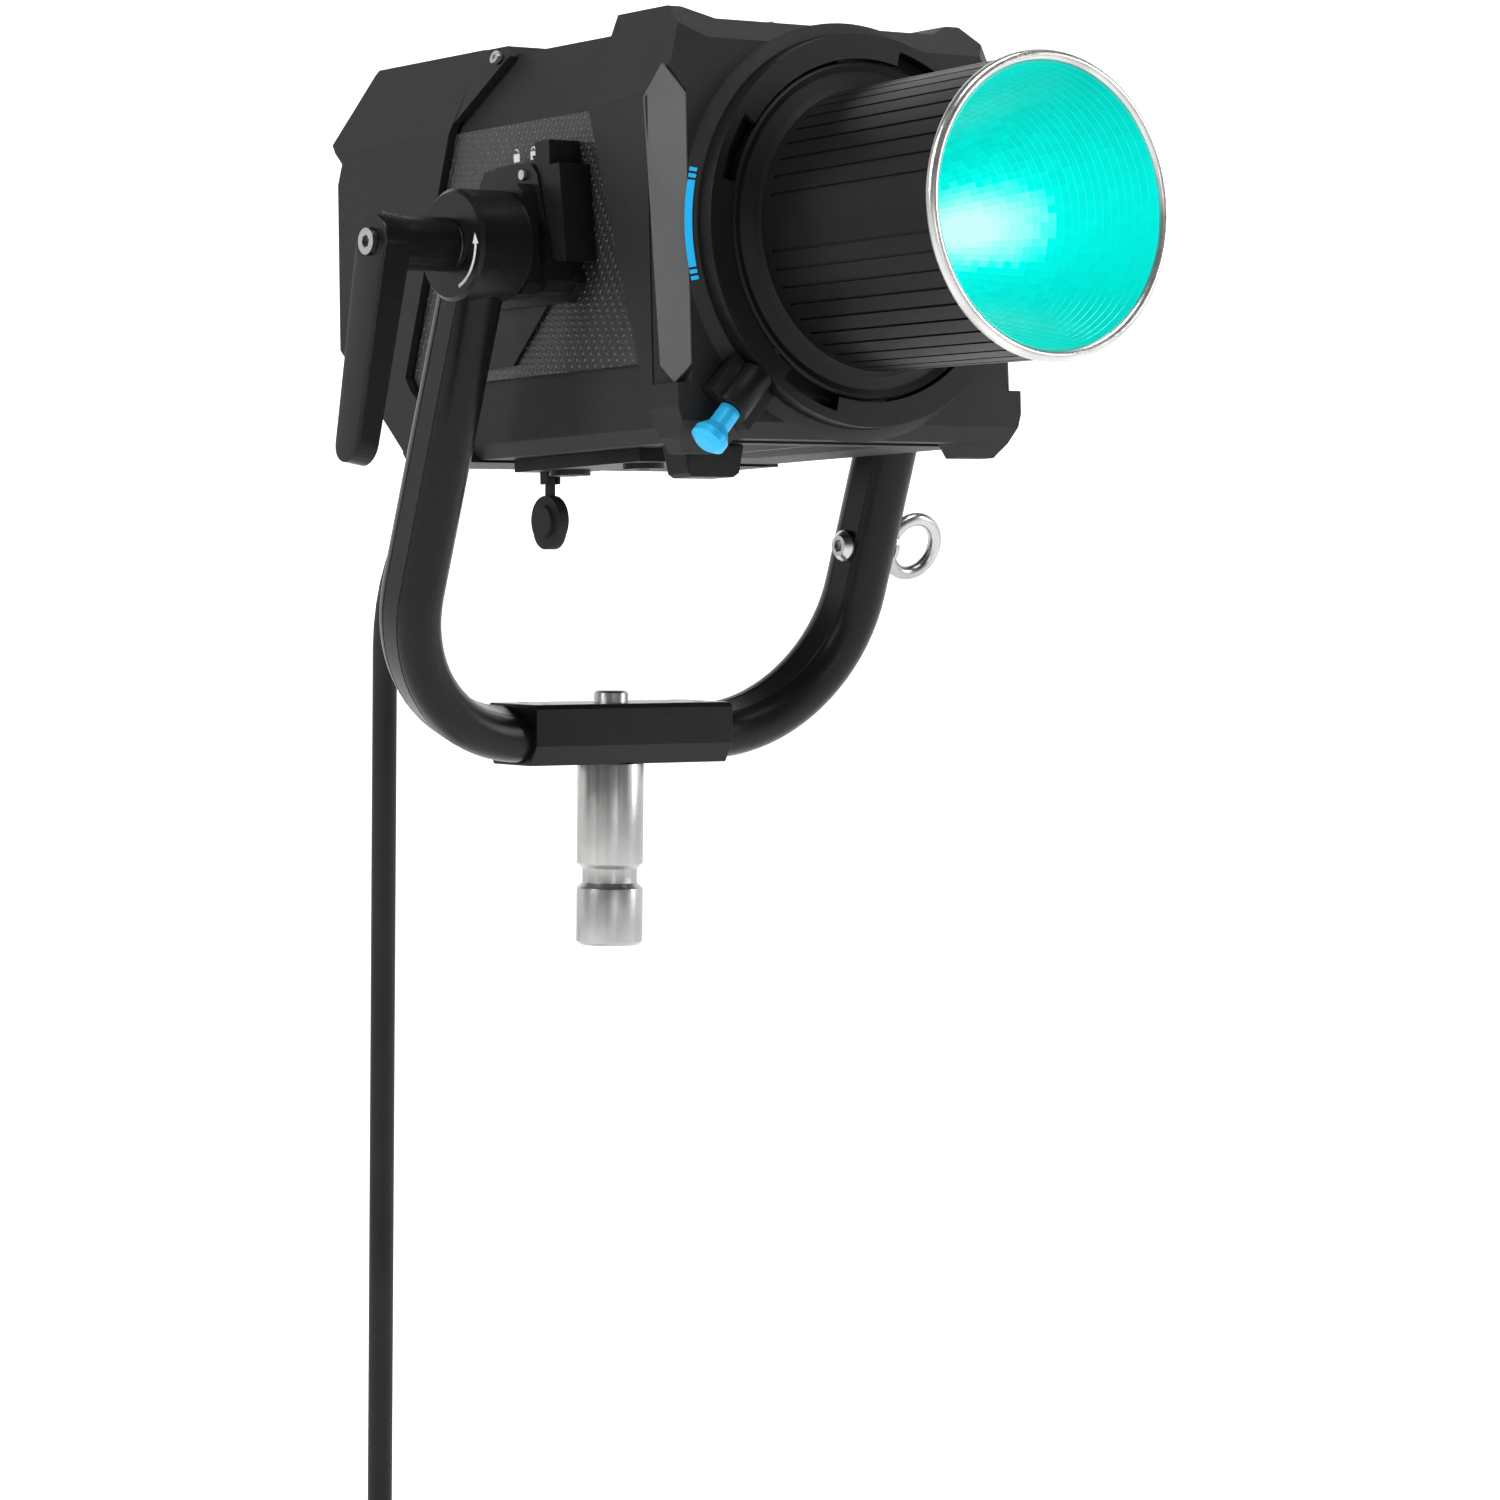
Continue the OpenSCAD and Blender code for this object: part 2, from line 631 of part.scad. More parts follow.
module rear_cover() {
  half = cover_w / 2;
  outside = casing_outline(half, cover_top, cover_low, 0);
  inside = casing_outline(casing_w / 2, casing_top, casing_bottom, -fit);
  neck = casing_outline(casing_w / 2, casing_top, casing_bottom, neck_step - fit);
  cavity = casing_outline(half, cover_top, cover_low, cover_wall + 1);
  ear = [[cover_join + 1, cover_top - 0.3], [cover_join - 17, cover_top - 0.3],
         [cover_join - 21, cover_top - 5], [cover_join - 16, cover_top - 9],
         [cover_join + 8, shoulder_h + 4]];
  color("#262628") on_head() difference() {
    union() {
      intersection() {
        side_plate(cover_side(0), -cover_w, cover_w);
        front_plate(outside, 0, cover_back + 20);
      }
      intersection() {
        side_plate(ear, -cover_w, cover_w);
        front_plate(outside, 0, cover_back + 20);
      }
    }
    front_plate(inside, 0, cover_join + 3);
    front_plate(neck, 0, cover_join + 46 + seam);
    difference() {
      front_plate(cavity, 0, cover_back - 6);
      translate([-cover_w, cover_back - 50, -cover_low - 5])
        rotate([45, 0, 0]) cube([2 * cover_w, 70, 11]);
    }
    translate([-56, cover_back - 12, -24]) cube([112, 30, 66]);
    for (z = [-14, -4, 6, 16, 26]) for (s = [-1, 1])
      translate([s * 68 - 5, cover_back - 12, z]) cube([10, 30, 5]);
    on_inlet() translate([0, 0, -30]) cylinder(d = inlet_d + 2 * fit, h = 60);
    for (s = [-1, 1]) translate([s * (half - 9), cover_join - 14, cover_top - 6])
      rotate([0, 70 * s, 0]) cylinder(d = 3.4, h = 30, center = true);
  }
}

// One screw on each ear of the rear cover, and two on top of the front bezel
module cover_screws() {
  color("#8a8a8e") on_head() {
    for (s = [-1, 1]) translate([s * (cover_w / 2 - 9), cover_join - 14, cover_top - 5.4])
      rotate([0, 70 * s, 0]) translate([0, 0, 0.4]) pan_screw(3, 1.2);
    for (s = [-1, 1]) translate([s * 24, -bezel_front + 18, bezel_mid + fit])
      bored(3.4, 1, 0.9);
  }
}

// Woven panel on each side of the casing
module side_panel(side) {
  x0 = casing_w / 2 + fit;
  outline = [
    [-36, shoulder_h - 0.5], [cover_join + 9, shoulder_h - 0.5], [cover_join + 45, -46],
    [cover_join + 41.5, -51], [-66.5, -51]
  ];
  color("#2f2f31") on_head() mirror([side > 0 ? 0 : 1, 0, 0]) difference() {
    side_plate(outline, x0, x0 + panel_t - fit);
    rotate([0, 90, 0]) cylinder(d = tilt_stud_d + 2, h = casing_w);
  }
}

// ---- Lamp head: tilt brackets ----

module tilt_bracket(side) {
  base = [[-10, 36], [-25, -16], [-17, -23], [34, -22.5], [40, -16], [32, 36]];
  plate = [[-11, 33], [-15, 28.5], [-21.5, 1], [-22.4, -15], [-18, -19.4], [24, -19],
           [27, -15], [26, 28], [22, 33]];
  block = [[-10.5, 25], [-14.3, 21], [-16.6, -16], [-13, -20], [20, -20], [23, -16],
           [23, 21], [19, 25]];
  trapezoid = [[0, -22.4], [26, -46], [70, -46], [70, -22.4]];
  color("#1e1e20") on_head() mirror([side > 0 ? 0 : 1, 0, 0]) difference() {
    union() {
      side_plate(base, bracket_base, bracket_base + 4);
      side_plate(plate, bracket_base, plate_face);
      side_plate(block, plate_face - eps, bracket_face);
      side_plate(trapezoid, bracket_base, bracket_base + 1.2);
    }
    translate([bracket_base - 5, 0, 0]) rotate([0, 90, 0])
      cylinder(d = tilt_stud_d + 2 * fit, h = 60);
    translate([plate_face - 4, -6, 29]) rotate([0, 90, 0]) cylinder(d = 4.6, h = 20);
  }
}

module bracket_rails() {
  rail = [[-12.6, 42], [-12.6, 36.4], [-10.3, 36.4], [-14.6, 30], [-22.8, -7], [-32.6, -8],
          [-29.2, 32], [-22.6, 32], [-22.6, 42]];
  color("#151516") on_head() for (s = [0, 1]) mirror([s, 0, 0]) difference() {
    side_plate(rail, bracket_base, rail_face);
    side_plate([[-8, 37], [-27, -25], [-60, -25], [60, -25], [60, 37]],
               bracket_base - 1, bracket_base + 4.2);
    side_plate([[-10.8, 33.2], [-15.3, 28.6], [-21.8, 1], [-22.7, -15.2], [10, -15], [10, 33.2]],
               bracket_base - 1, plate_face + 1);
  }
}

// Small release button at the top front corner of each bracket
module lock_button(side) {
  color("#d8d8da") on_head() mirror([side > 0 ? 0 : 1, 0, 0])
    translate([plate_face - 2, -6, 29]) rotate([0, 90, 0]) cylinder(d = 4, h = 3.6);
}

// Studs fixed in the casing that the head tilts on
module tilt_studs() {
  head_x = casing_w / 2 - neck_step - casing_wall - 4;
  color("#8c8c90") on_head() for (s = [-1, 1])
    translate([s * head_x, 0, 0]) along_x(s) {
      cylinder(d = tilt_stud_d, h = hub_out - head_x + (s > 0 ? 2 : -0.5));
      cylinder(d = tilt_stud_d + 10, h = 3.5);
      if (s < 0) cylinder(d = stud_thread_d, h = hub_out - head_x + stud_nose);
    }
}

// ---- Lamp head: light path ----

module mount_ring() {
  color("#1c1c1e") on_head() difference() {
    on_optic(-(ring_face - ring_t) + 2) difference() {
      union() {
        translate([0, 0, 2 + fit]) cylinder(d = ring_d, h = ring_t - fit);
        translate([0, 0, -1]) cylinder(d = ring_bore_d + 8, h = 4);
      }
      translate([0, 0, -2]) cylinder(d = ring_bore_d, h = ring_t + 6);
      translate([0, 0, 2.4]) cylinder(d = ring_bore_d + 2 * lug_depth + 1, h = 3.8);
      for (a = lug_angles) rotate([0, 0, a - lug_span / 2]) rotate_extrude(angle = lug_span)
        translate([ring_bore_d / 2 - 3, 3]) square([3 + lug_depth, ring_t]);
    }
    on_pin() translate([0, 0, ring_bore_d / 2 - 4]) cylinder(d = pin_d + 2 * run + 0.1, h = 30);
  }
}

module front_glass() {
  color([0.75, 0.85, 0.9, 0.35]) on_head() on_optic(-casing_front + 8)
    cylinder(d = port_d + 7, h = glass_t);
}

module led_board() {
  color("#e8e4d0") on_head() on_optic(led_y) {
    translate([-30, -30, 0]) cube([60, 60, 2]);
    translate([0, 0, 2 - eps]) cylinder(d = 34, h = 0.8);
    for (a = [0 : 60 : 300]) rotate([0, 0, a]) translate([10, 0, 2.8 - eps])
      translate([-2, -2, 0]) cube([4, 4, 0.4]);
  }
}

module led_clamp() {
  color("#c9c9cc") on_head() on_optic(led_y - 2 - 0.1) difference() {
    translate([-34, -34, 0]) cube([68, 68, 5]);
    translate([-31, -31, -1]) cube([62, 62, 3.2]);
    translate([0, 0, -1]) cylinder(d = 46, h = 10);
  }
}

module heat_sink() {
  fins = 17;
  pitch = 7;
  w = 124;
  h = 118;
  base_t = 10;
  pipe_d = 6;
  color("#b9babd") on_head() {
    translate([-w / 2, led_y + 0.1, optic_h - h / 2]) cube([w, base_t, h]);
    for (i = [0 : fins - 1])
      translate([(i - (fins - 1) / 2) * pitch - 0.9, led_y + base_t, optic_h - h / 2])
        cube([1.8, sink_len - 12, h]);
    for (z = [-36, -12, 12, 36]) translate([0, led_y + 30, optic_h + z]) rotate([0, 90, 0])
      cylinder(d = pipe_d, h = w - 4, center = true);
  }
}

// ---- Lamp head: cooling and electronics ----

module fan_frame() {
  color("#2b2b2d") on_head() difference() {
    translate([-2 * fan_x, fan_y, optic_h - fan_x]) cube([4 * fan_x, fan_t, 2 * fan_x]);
    for (s = [-1, 1]) translate([s * fan_x, fan_y - 1, optic_h]) rotate([-90, 0, 0]) difference() {
      cylinder(d = fan_d + 2, h = fan_t + 2);
      translate([0, 0, fan_t - 2]) cylinder(d = 24, h = 6);
      for (a = [0 : 90 : 270]) rotate([0, 0, a]) translate([0, -1.5, fan_t - 2])
        cube([fan_d, 3, 6]);
    }
    for (s = [-1, 1]) translate([s * fan_x, fan_y - 1, optic_h]) rotate([-90, 0, 0])
      translate([0, 0, fan_t - 12]) cylinder(d = 6, h = 30);
  }
}

module fan_rotor(side) {
  blades = 7;
  color("#3a3a3d") on_head() translate([side * fan_x, fan_y + 1, optic_h]) rotate([-90, 0, 0]) {
    difference() {
      cylinder(d = 24, h = fan_t - 6);
      translate([0, 0, 2]) cylinder(d = 20, h = fan_t);
    }
    translate([0, 0, 1]) cylinder(d = 5.9, h = fan_t - 3);
    for (a = [0 : blades - 1]) rotate([0, 0, a * 360 / blades]) translate([11, -0.8, 2])
      rotate([34, 0, 0]) translate([0, 0, -1]) cube([fan_d / 2 - 12.5, 1.6, 12]);
  }
}

module driver_board() {
  z = -68;
  color("#1f5e3a") on_head() {
    translate([-58, -52, z]) cube([116, 100, 1.6]);
    for (i = [0 : 3]) translate([-48 + i * 18, -38, z + 1.6 - eps]) cube([10, 14, 8]);
    for (i = [0 : 4]) translate([-44 + i * 20, 28, z + 1.6 - eps]) cylinder(d = 9, h = 9);
  }
}

module power_supply() {
  y = fan_y + fan_t + 5;
  color("#9fa0a4") on_head() difference() {
    translate([-60, y, optic_h - 32]) cube([120, 34, 84]);
    for (i = [0 : 8]) translate([-48 + i * 11, y - 1, optic_h - 20]) cube([6, 4, 60]);
  }
}

// Panel in the back of the rear cover, with bores for its controls
module control_panel() {
  y = cover_back - 5.5;
  color("#141415") on_head() difference() {
    translate([-56 + fit, y, -24 + fit]) cube([112 - 2 * fit, 3, 66 - 2 * fit]);
    translate([-48, y - 1, -4]) cube([52, 6, 38]);
    for (x = [22, 42]) translate([x, y - 1, 22]) rotate([-90, 0, 0]) cylinder(d = 6.5, h = 6);
    for (i = [0, 1]) translate([-39 + i * 20, y - 1, -17]) cube([14.6, 6, 6.6]);
    translate([20.7, y - 1, -17.3]) cube([24.6, 6, 13.6]);
  }
}

module display() {
  y = cover_back - 5.5;
  color("#0b1a1e") on_head() translate([-48 + fit, y + 0.6, -4 + fit])
    cube([52 - 2 * fit, 2, 38 - 2 * fit]);
}

module encoder_knob(x, d) {
  y = cover_back - 5.5;
  color("#2d2d30") on_head() translate([x, y + 3 + gap, 22]) rotate([-90, 0, 0]) difference() {
    union() {
      cylinder(d = d, h = 8.5);
      translate([0, 0, -6]) cylinder(d = 6, h = 7);
      for (a = [0 : 20 : 340]) rotate([0, 0, a]) translate([d / 2 - 0.3, -0.6, 0])
        cube([0.8, 1.2, 8]);
    }
    translate([0, 0, 7.5]) translate([-0.5, d / 5, 0]) cube([1, d, 3]);
  }
}

module panel_key(i) {
  y = cover_back - 5.5;
  color("#4a4a4e") on_head() translate([-38.7 + i * 20, y - 1, -16.7]) cube([14, 5.5, 6]);
}

module power_rocker() {
  y = cover_back - 5.5;
  rocker_w = 24;
  color("#b3261e") on_head() intersection() {
    translate([33, y + 1.5, -10.5]) rotate([90, 0, 90])
      cylinder(d = 13, h = rocker_w, center = true);
    translate([33 - rocker_w / 2, y - 3, -16.4]) cube([rocker_w, 12, 11.8]);
  }
}

// ---- Lamp head: underside ----

module underside_grille() {
  slots = 12;
  color("#1d1d1f") on_head() difference() {
    translate([-46 + fit, -70 + fit, -casing_bottom]) cube([92 - 2 * fit, 120 - 2 * fit, 2.5]);
    for (i = [0 : slots - 1], s = [-1, 1]) translate([s * 20 - 17, -64 + i * 7, -casing_bottom - 1])
      cube([34, 3.4, 5]);
  }
}

module accessory_plate() {
  z = -casing_bottom - fit;
  color("#121213") on_head() difference() {
    union() {
      translate([-66, -38, z - 5.4]) cube([30, 89, 5.4]);
      for (y = [-20, 32]) translate([-51, y, z - 7.6]) cylinder(d = 17, h = 2.4);
      for (s = [-1, 1]) translate([-50 + s * 2.7 - 0.75, 45.5, z - 10.4]) cube([1.5, 5, 6]);
      translate([-50, 48, z - 8.4]) rotate([0, 90, 0]) cylinder(d = 1.8, h = 6, center = true);
    }
    for (y = [-20, 32]) translate([-51, y, z - 10]) cylinder(d = 6.4, h = 4.6);
  }
}

module foot_block() {
  z = -casing_bottom - fit;
  pts = [[-71, z], [-41, z], [-43.5, z - 12], [-46, z - 13.5], [-66, z - 13.5], [-68.5, z - 12]];
  color("#101011") on_head() front_plate(pts, -75, -60);
}

// Rubber cap hanging from the accessory plate by its strap
module port_cap() {
  z = -casing_bottom - fit - 8.4;
  color("#0e0e0f") on_head() translate([-50, 48, z]) rotate([head_tilt, 0, 0]) difference() {
    union() {
      translate([-1.2, -2, -10]) cube([2.4, 4, 9]);
      rotate([0, 90, 0]) cylinder(d = 3.8, h = 2.4, center = true);
      translate([-2.5, 0, -17]) rotate([0, 90, 0]) cylinder(d = 20.5, h = 5);
      translate([-2.5, 0, -20.5]) rotate([0, 90, 0]) cylinder(d = 17.5, h = 5);
      translate([-4.5, 0, -17.5]) rotate([0, 90, 0]) cylinder(d = 13, h = 4);
    }
    rotate([0, 90, 0]) cylinder(d = 2, h = 4, center = true);
  }
}

// Places the children on the power inlet's axis, +Z pointing out of the cover
module on_inlet() {
  translate([lead_x, inlet_y, inlet_z]) rotate([-90 - inlet_tilt, 0, 0]) children();
}

module power_inlet() {
  color("#19191a") on_head() on_inlet() difference() {
    union() {
      translate([0, 0, -6]) cylinder(d = inlet_d, h = 7);
      translate([-19, -19, 0.4]) cube([38, 38, 2.2]);
    }
    translate([0, 0, -3]) cylinder(d = 24.4, h = 20);
  }
}

// ---- Release pin ----

// Places the children on the release pin's axis, +Z pointing away from the optical axis
module on_pin() {
  translate([0, pin_y, optic_h]) rotate([0, 90 - pin_angle, 0]) children();
}

module release_boss() {
  w = 24;
  h = pin_boss_r - pin_boss_in;
  bottom = -bezel_front - fit;
  color("#1f1f21") on_head() difference() {
    on_pin() translate([0, 0, pin_boss_in]) union() {
      cylinder(d = 14, h = h);
      translate([-w / 2, 0, 0]) cube([w, 20, h]);
    }
    translate([-200, bottom, -200]) cube(400);
    on_pin() translate([0, 0, pin_boss_in - 5]) cylinder(d = pin_d + 2 * run, h = h + 10);
    on_pin() translate([0, 0, pin_boss_in + 3]) cylinder(d = 9, h = h - 6);
    on_optic(0) cylinder(r = ring_d / 2 + 0.8, h = 200);
    bezel_cone(fit);
  }
}

module release_pin() {
  color("#19a7d8") on_head() on_pin() {
    translate([0, 0, pin_inner]) cylinder(d = pin_d, h = pin_knob_r - pin_inner);
    translate([0, 0, pin_boss_in + 4]) cylinder(d = 7.6, h = 1.2);
    translate([0, 0, pin_boss_r + gap]) cylinder(d = 9, h = pin_knob_r - pin_boss_r - 5);
    translate([0, 0, pin_knob_r - 6]) cylinder(d1 = 10, d2 = pin_knob_d, h = 4 + eps);
    translate([0, 0, pin_knob_r - 2]) cylinder(d = pin_knob_d, h = 3);
    translate([0, 0, pin_knob_r + 1 - eps])
      cylinder(d1 = pin_knob_d, d2 = pin_knob_d * 0.6, h = 2);
  }
}

module release_spring() {
  turns = 4;
  z0 = pin_boss_in + 5.5;
  len = pin_boss_r - 3.4 - z0;
  color("#9a9aa0") on_head() on_pin() for (i = [0 : turns - 1])
    translate([0, 0, z0 + (i + 0.5) * len / turns]) rotate_extrude($fn = 32)
      translate([3.5, 0]) circle(d = 0.8, $fn = 16);
}

// ---- Reflector ----

// Bowl radius at a distance s along the axis from the throat, a parabola
function bowl_r(s) =
  let (k = (pow(bowl_d / 2, 2) - pow(throat_d / 2, 2)) / barrel_len)
  sqrt(pow(throat_d / 2, 2) + k * s);

module reflector_barrel() {
  wall = 2;
  base_y = -(ring_face - flange_t);
  flare = (rim_d - 3 - barrel_d) / 2;
  rib_depth = 0.7;
  rib_len = barrel_len - 14;
  outside = [
    [0, 0], [flange_d / 2, 0], [flange_d / 2, flange_t - 1.2], [flange_d / 2 - 1.2, flange_t],
    [flange_d / 2 - 4, flange_t - 1], [barrel_d / 2 + 2, flange_t + 1.5],
    [barrel_d / 2, flange_t + 4], [barrel_d / 2 + flare, flange_t + barrel_len - rim_t],
    [0, flange_t + barrel_len - rim_t]
  ];
  inside = [
    [0, -1], [throat_d / 2 + 1.5, -1], [throat_d / 2 + 1.5, 3], [throat_d / 2 + 5, 3],
    [barrel_d / 2 - wall - 0.6, 9],
    [barrel_d / 2 + flare - wall, flange_t + barrel_len], [0, flange_t + barrel_len]
  ];
  color("#1c1c1e") on_head() on_optic(base_y) difference() {
    union() {
      difference() {
        rotate_extrude($fn = 96) polygon(outside);
        rotate_extrude($fn = 96) polygon(inside);
      }
      for (a = lug_angles) rotate([0, 0, a + lock_turn - lug_span / 2 + 2])
        rotate_extrude(angle = lug_span - 4) translate([flange_d / 2 - 3, 0.2])
          square([lug_depth + 2, 1.5]);
    }
    for (i = [0 : rib_count - 1]) rotate([0, 0, (i + 0.5) * 360 / rib_count])
      if (abs((i + 0.5) * 360 / rib_count - 180) > 10)
        translate([barrel_d / 2 - rib_depth, -0.6, flange_t + 9])
          rotate([0, atan(flare / barrel_len), 0]) cube([3, 1.2, rib_len]);
    rotate([0, 0, pin_angle - 4]) rotate_extrude(angle = lock_turn + 8)
      translate([flange_d / 2 - 4, -4]) square([8, flange_t + 2.6]);
  }
}

module reflector_bowl() {
  steps = 14;
  outer = [for (i = [0 : steps]) let (s = i * (barrel_len - 1) / steps) [bowl_r(s) + bowl_wall, s]];
  inner = [for (i = [steps : -1 : 0]) let (s = i * (barrel_len - 1) / steps) [bowl_r(s), s]];
  foot = [[throat_d / 2, -1.7], [throat_d / 2 + 3.6, -1.7], [throat_d / 2 + 3.6, 0.4]];
  color("#d7dadd") on_head() on_optic(-(ring_face - 1))
    rotate_extrude($fn = 96) polygon(concat(outer, inner, foot));
}

module reflector_rim() {
  r = rim_d / 2;
  y = mouth_y + rim_t;
  profile = [
    [bowl_d / 2 + 0.3, 0.2], [r - 1.2, 0.2], [r, 1.2], [r, rim_t - 1.2], [r - 1, rim_t],
    [bowl_d / 2 + 1, rim_t], [bowl_d / 2 + 0.3, rim_t - 0.8]
  ];
  color("#d0d1d3") on_head() on_optic(y) difference() {
    rotate_extrude($fn = 96) polygon(profile);
    translate([0, 0, -1]) cylinder(d = bowl_d + 2 * bowl_wall + 0.4, h = 1 + rim_t - 1.2);
  }
}

// ---- Power lead ----

module cable_connector() {
  color("#1a1a1b") on_head() on_inlet() union() {
    translate([0, 0, -2.8]) cylinder(d = 24, h = 8);
    translate([0, 0, 2.8]) cylinder(d = 27, h = 18.6);
    for (i = [0 : 2]) translate([0, 0, 7 + i * 4.4]) cylinder(d = 29, h = 2.2);
    translate([0, 0, 21.4 - eps]) cylinder(d1 = 25, d2 = 16, h = connector_len - 21.4);
  }
}

// Ring of points round p in the plane across the direction d
function ring_at(p, d, r) =
  let (u = [1, 0, 0], v = cross(d / norm(d), u))
  [for (i = [0 : lead_sides - 1]) let (a = i * 360 / lead_sides)
    p + r * (cos(a) * u + sin(a) * v)];

module swept(points, r) {
  n = len(points);
  m = lead_sides;
  dirs = [for (i = [0 : n - 1]) points[min(i + 1, n - 1)] - points[max(i - 1, 0)]];
  rings = [for (i = [0 : n - 1]) each ring_at(points[i], dirs[i], r)];
  walls = [for (i = [0 : n - 2], j = [0 : m - 1])
    [i * m + j, i * m + (j + 1) % m, (i + 1) * m + (j + 1) % m, (i + 1) * m + j]];
  caps = [[for (j = [m - 1 : -1 : 0]) j], [for (j = [0 : m - 1]) (n - 1) * m + j]];
  polyhedron(rings, concat(walls, caps), convexity = 8);
}

module lead() {
  color("#161617") swept(lead_points, cord_d / 2);
}

module lead_coil() {
  b = coil_bundle / 2;
  color("#161617") translate([lead_x + cord_d, coil_y, coil_z]) rotate([0, 90, 0])
    rotate_extrude($fn = 64) translate([coil_d / 2, 0]) intersection() {
      square([2 * b, 2 * b], center = true);
      circle(r = b * 1.18);
    }
}

module mains_plug() {
  color("#161617") translate([lead_x + 2 * cord_d, coil_y + outer_turn, coil_z - 40]) {
    cylinder(d = cord_d, h = 40);
    translate([0, 0, -20]) cylinder(d1 = 24, d2 = cord_d + 4, h = 20 + eps);
    translate([0, 0, -52]) cylinder(d = 34, h = 32 + eps);
    for (s = [-1, 1]) translate([s * 6.35 - 0.8, -3.2, -70]) cube([1.6, 6.4, 18 + eps]);
    translate([0, 10.5, -72]) cylinder(d = 4.8, h = 20 + eps);
  }
}

yoke_tube();
yoke_hub(-1);  // yoke_hub_left
yoke_hub(1);  // yoke_hub_right
sleeve_block();
sleeve_screws();
spigot();
eye_bolt();
eye_bolt_screw();
friction_discs();
tilt_bushes();
clamp_insert();
lever_handle();
lever_screw();
lever_spring();
pivot_cap_right();
middle_casing();
front_bezel();
bezel_accents();
rear_cover();
cover_screws();
side_panel(-1);  // side_panel_left
side_panel(1);  // side_panel_right
tilt_bracket(-1);  // tilt_bracket_left
tilt_bracket(1);  // tilt_bracket_right
bracket_rails();
lock_button(-1);  // lock_button_left
lock_button(1);  // lock_button_right
tilt_studs();
mount_ring();
front_glass();
led_board();
led_clamp();
heat_sink();
fan_frame();
fan_rotor(-1);  // fan_rotor_left
fan_rotor(1);  // fan_rotor_right
driver_board();
power_supply();
control_panel();
display();
encoder_knob(22, 16);  // dimmer_knob
encoder_knob(42, 16);  // menu_knob
panel_key(0);  // key_menu
panel_key(1);  // key_back
power_rocker();
underside_grille();
accessory_plate();
foot_block();
port_cap();
power_inlet();
release_boss();
release_pin();
release_spring();
reflector_barrel();
reflector_bowl();
reflector_rim();
cable_connector();
lead();
lead_coil();
mains_plug();
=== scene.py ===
# %% [markdown]
# # A studio spotlight on its yoke
# The lamp is a black metal box with a short barrel in front. Inside the barrel a bright bowl of
# small facets gathers the light. The box tilts between the arms of a bent tube, and a steel
# spigot under the tube drops into a light stand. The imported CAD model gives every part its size
# and place. This script adds what CAD leaves plain: finishes, soft edges, facets, grooves,
# printed marks and the power lead.

# %% Load the frame
import bpy, bmesh, json, math, random
from mathutils import Matrix, Vector


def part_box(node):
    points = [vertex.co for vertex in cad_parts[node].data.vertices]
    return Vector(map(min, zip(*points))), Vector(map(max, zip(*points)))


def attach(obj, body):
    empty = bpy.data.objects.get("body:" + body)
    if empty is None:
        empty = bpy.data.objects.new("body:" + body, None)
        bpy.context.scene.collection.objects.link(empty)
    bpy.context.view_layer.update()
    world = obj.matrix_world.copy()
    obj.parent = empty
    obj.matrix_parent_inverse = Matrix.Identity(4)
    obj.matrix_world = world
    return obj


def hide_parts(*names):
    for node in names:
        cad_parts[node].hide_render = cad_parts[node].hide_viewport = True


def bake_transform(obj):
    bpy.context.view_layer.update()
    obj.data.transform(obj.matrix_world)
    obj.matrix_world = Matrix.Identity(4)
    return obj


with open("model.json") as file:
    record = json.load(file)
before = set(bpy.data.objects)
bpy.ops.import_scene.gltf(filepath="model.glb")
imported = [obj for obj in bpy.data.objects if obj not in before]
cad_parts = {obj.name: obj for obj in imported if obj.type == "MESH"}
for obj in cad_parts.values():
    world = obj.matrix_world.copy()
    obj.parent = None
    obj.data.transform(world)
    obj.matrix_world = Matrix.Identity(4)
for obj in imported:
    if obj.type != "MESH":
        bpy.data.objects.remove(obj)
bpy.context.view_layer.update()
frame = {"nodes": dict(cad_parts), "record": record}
nodes = frame["nodes"]

# %% [markdown]
# ## The camera
# A long lens from the front left and almost level with the lamp keeps the box's edges nearly
# parallel. A camera in Blender looks along its own -Z, so its matrix is built from three
# directions: right, up, and back towards the viewer. The lens is set last, because it only
# changes how much of the view fits.

# %% Place the camera
def look_from(azimuth, elevation, roll, distance, right_shift, up_shift, lens):
    a, e, r = math.radians(azimuth), math.radians(elevation), math.radians(roll)
    back = Vector((math.sin(a) * math.cos(e), -math.cos(a) * math.cos(e), math.sin(e)))
    level = Vector((math.cos(a), math.sin(a), 0))
    above = back.cross(level)
    right = level * math.cos(r) + above * math.sin(r)
    up = above * math.cos(r) - level * math.sin(r)
    place = back * distance + right * right_shift + up * up_shift
    data = bpy.data.cameras.new("view")
    data.lens, data.sensor_width = lens, 36
    camera = bpy.data.objects.new("view", data)
    bpy.context.scene.collection.objects.link(camera)
    camera.matrix_world = Matrix.Translation(place) @ Matrix(
        [[right[i], up[i], back[i]] for i in range(3)]).to_4x4()
    return camera

camera = look_from(-37.14, 2.49, 0.51, 2.3825, 0.0598, 0.0054, 133.3)
bpy.context.scene.camera = camera
bpy.context.scene.view_settings.view_transform = "Standard"
print("camera at", [round(v, 3) for v in camera.location])

# %% [markdown]
# ## Where the head stands
# The head tilts about the X axis. Its joint gives the axis's place, and the reflector's joint
# gives the direction of the barrel. With these two, a piece of the head can be made at the
# origin, lying along Y, and then be carried to its place with one matrix.

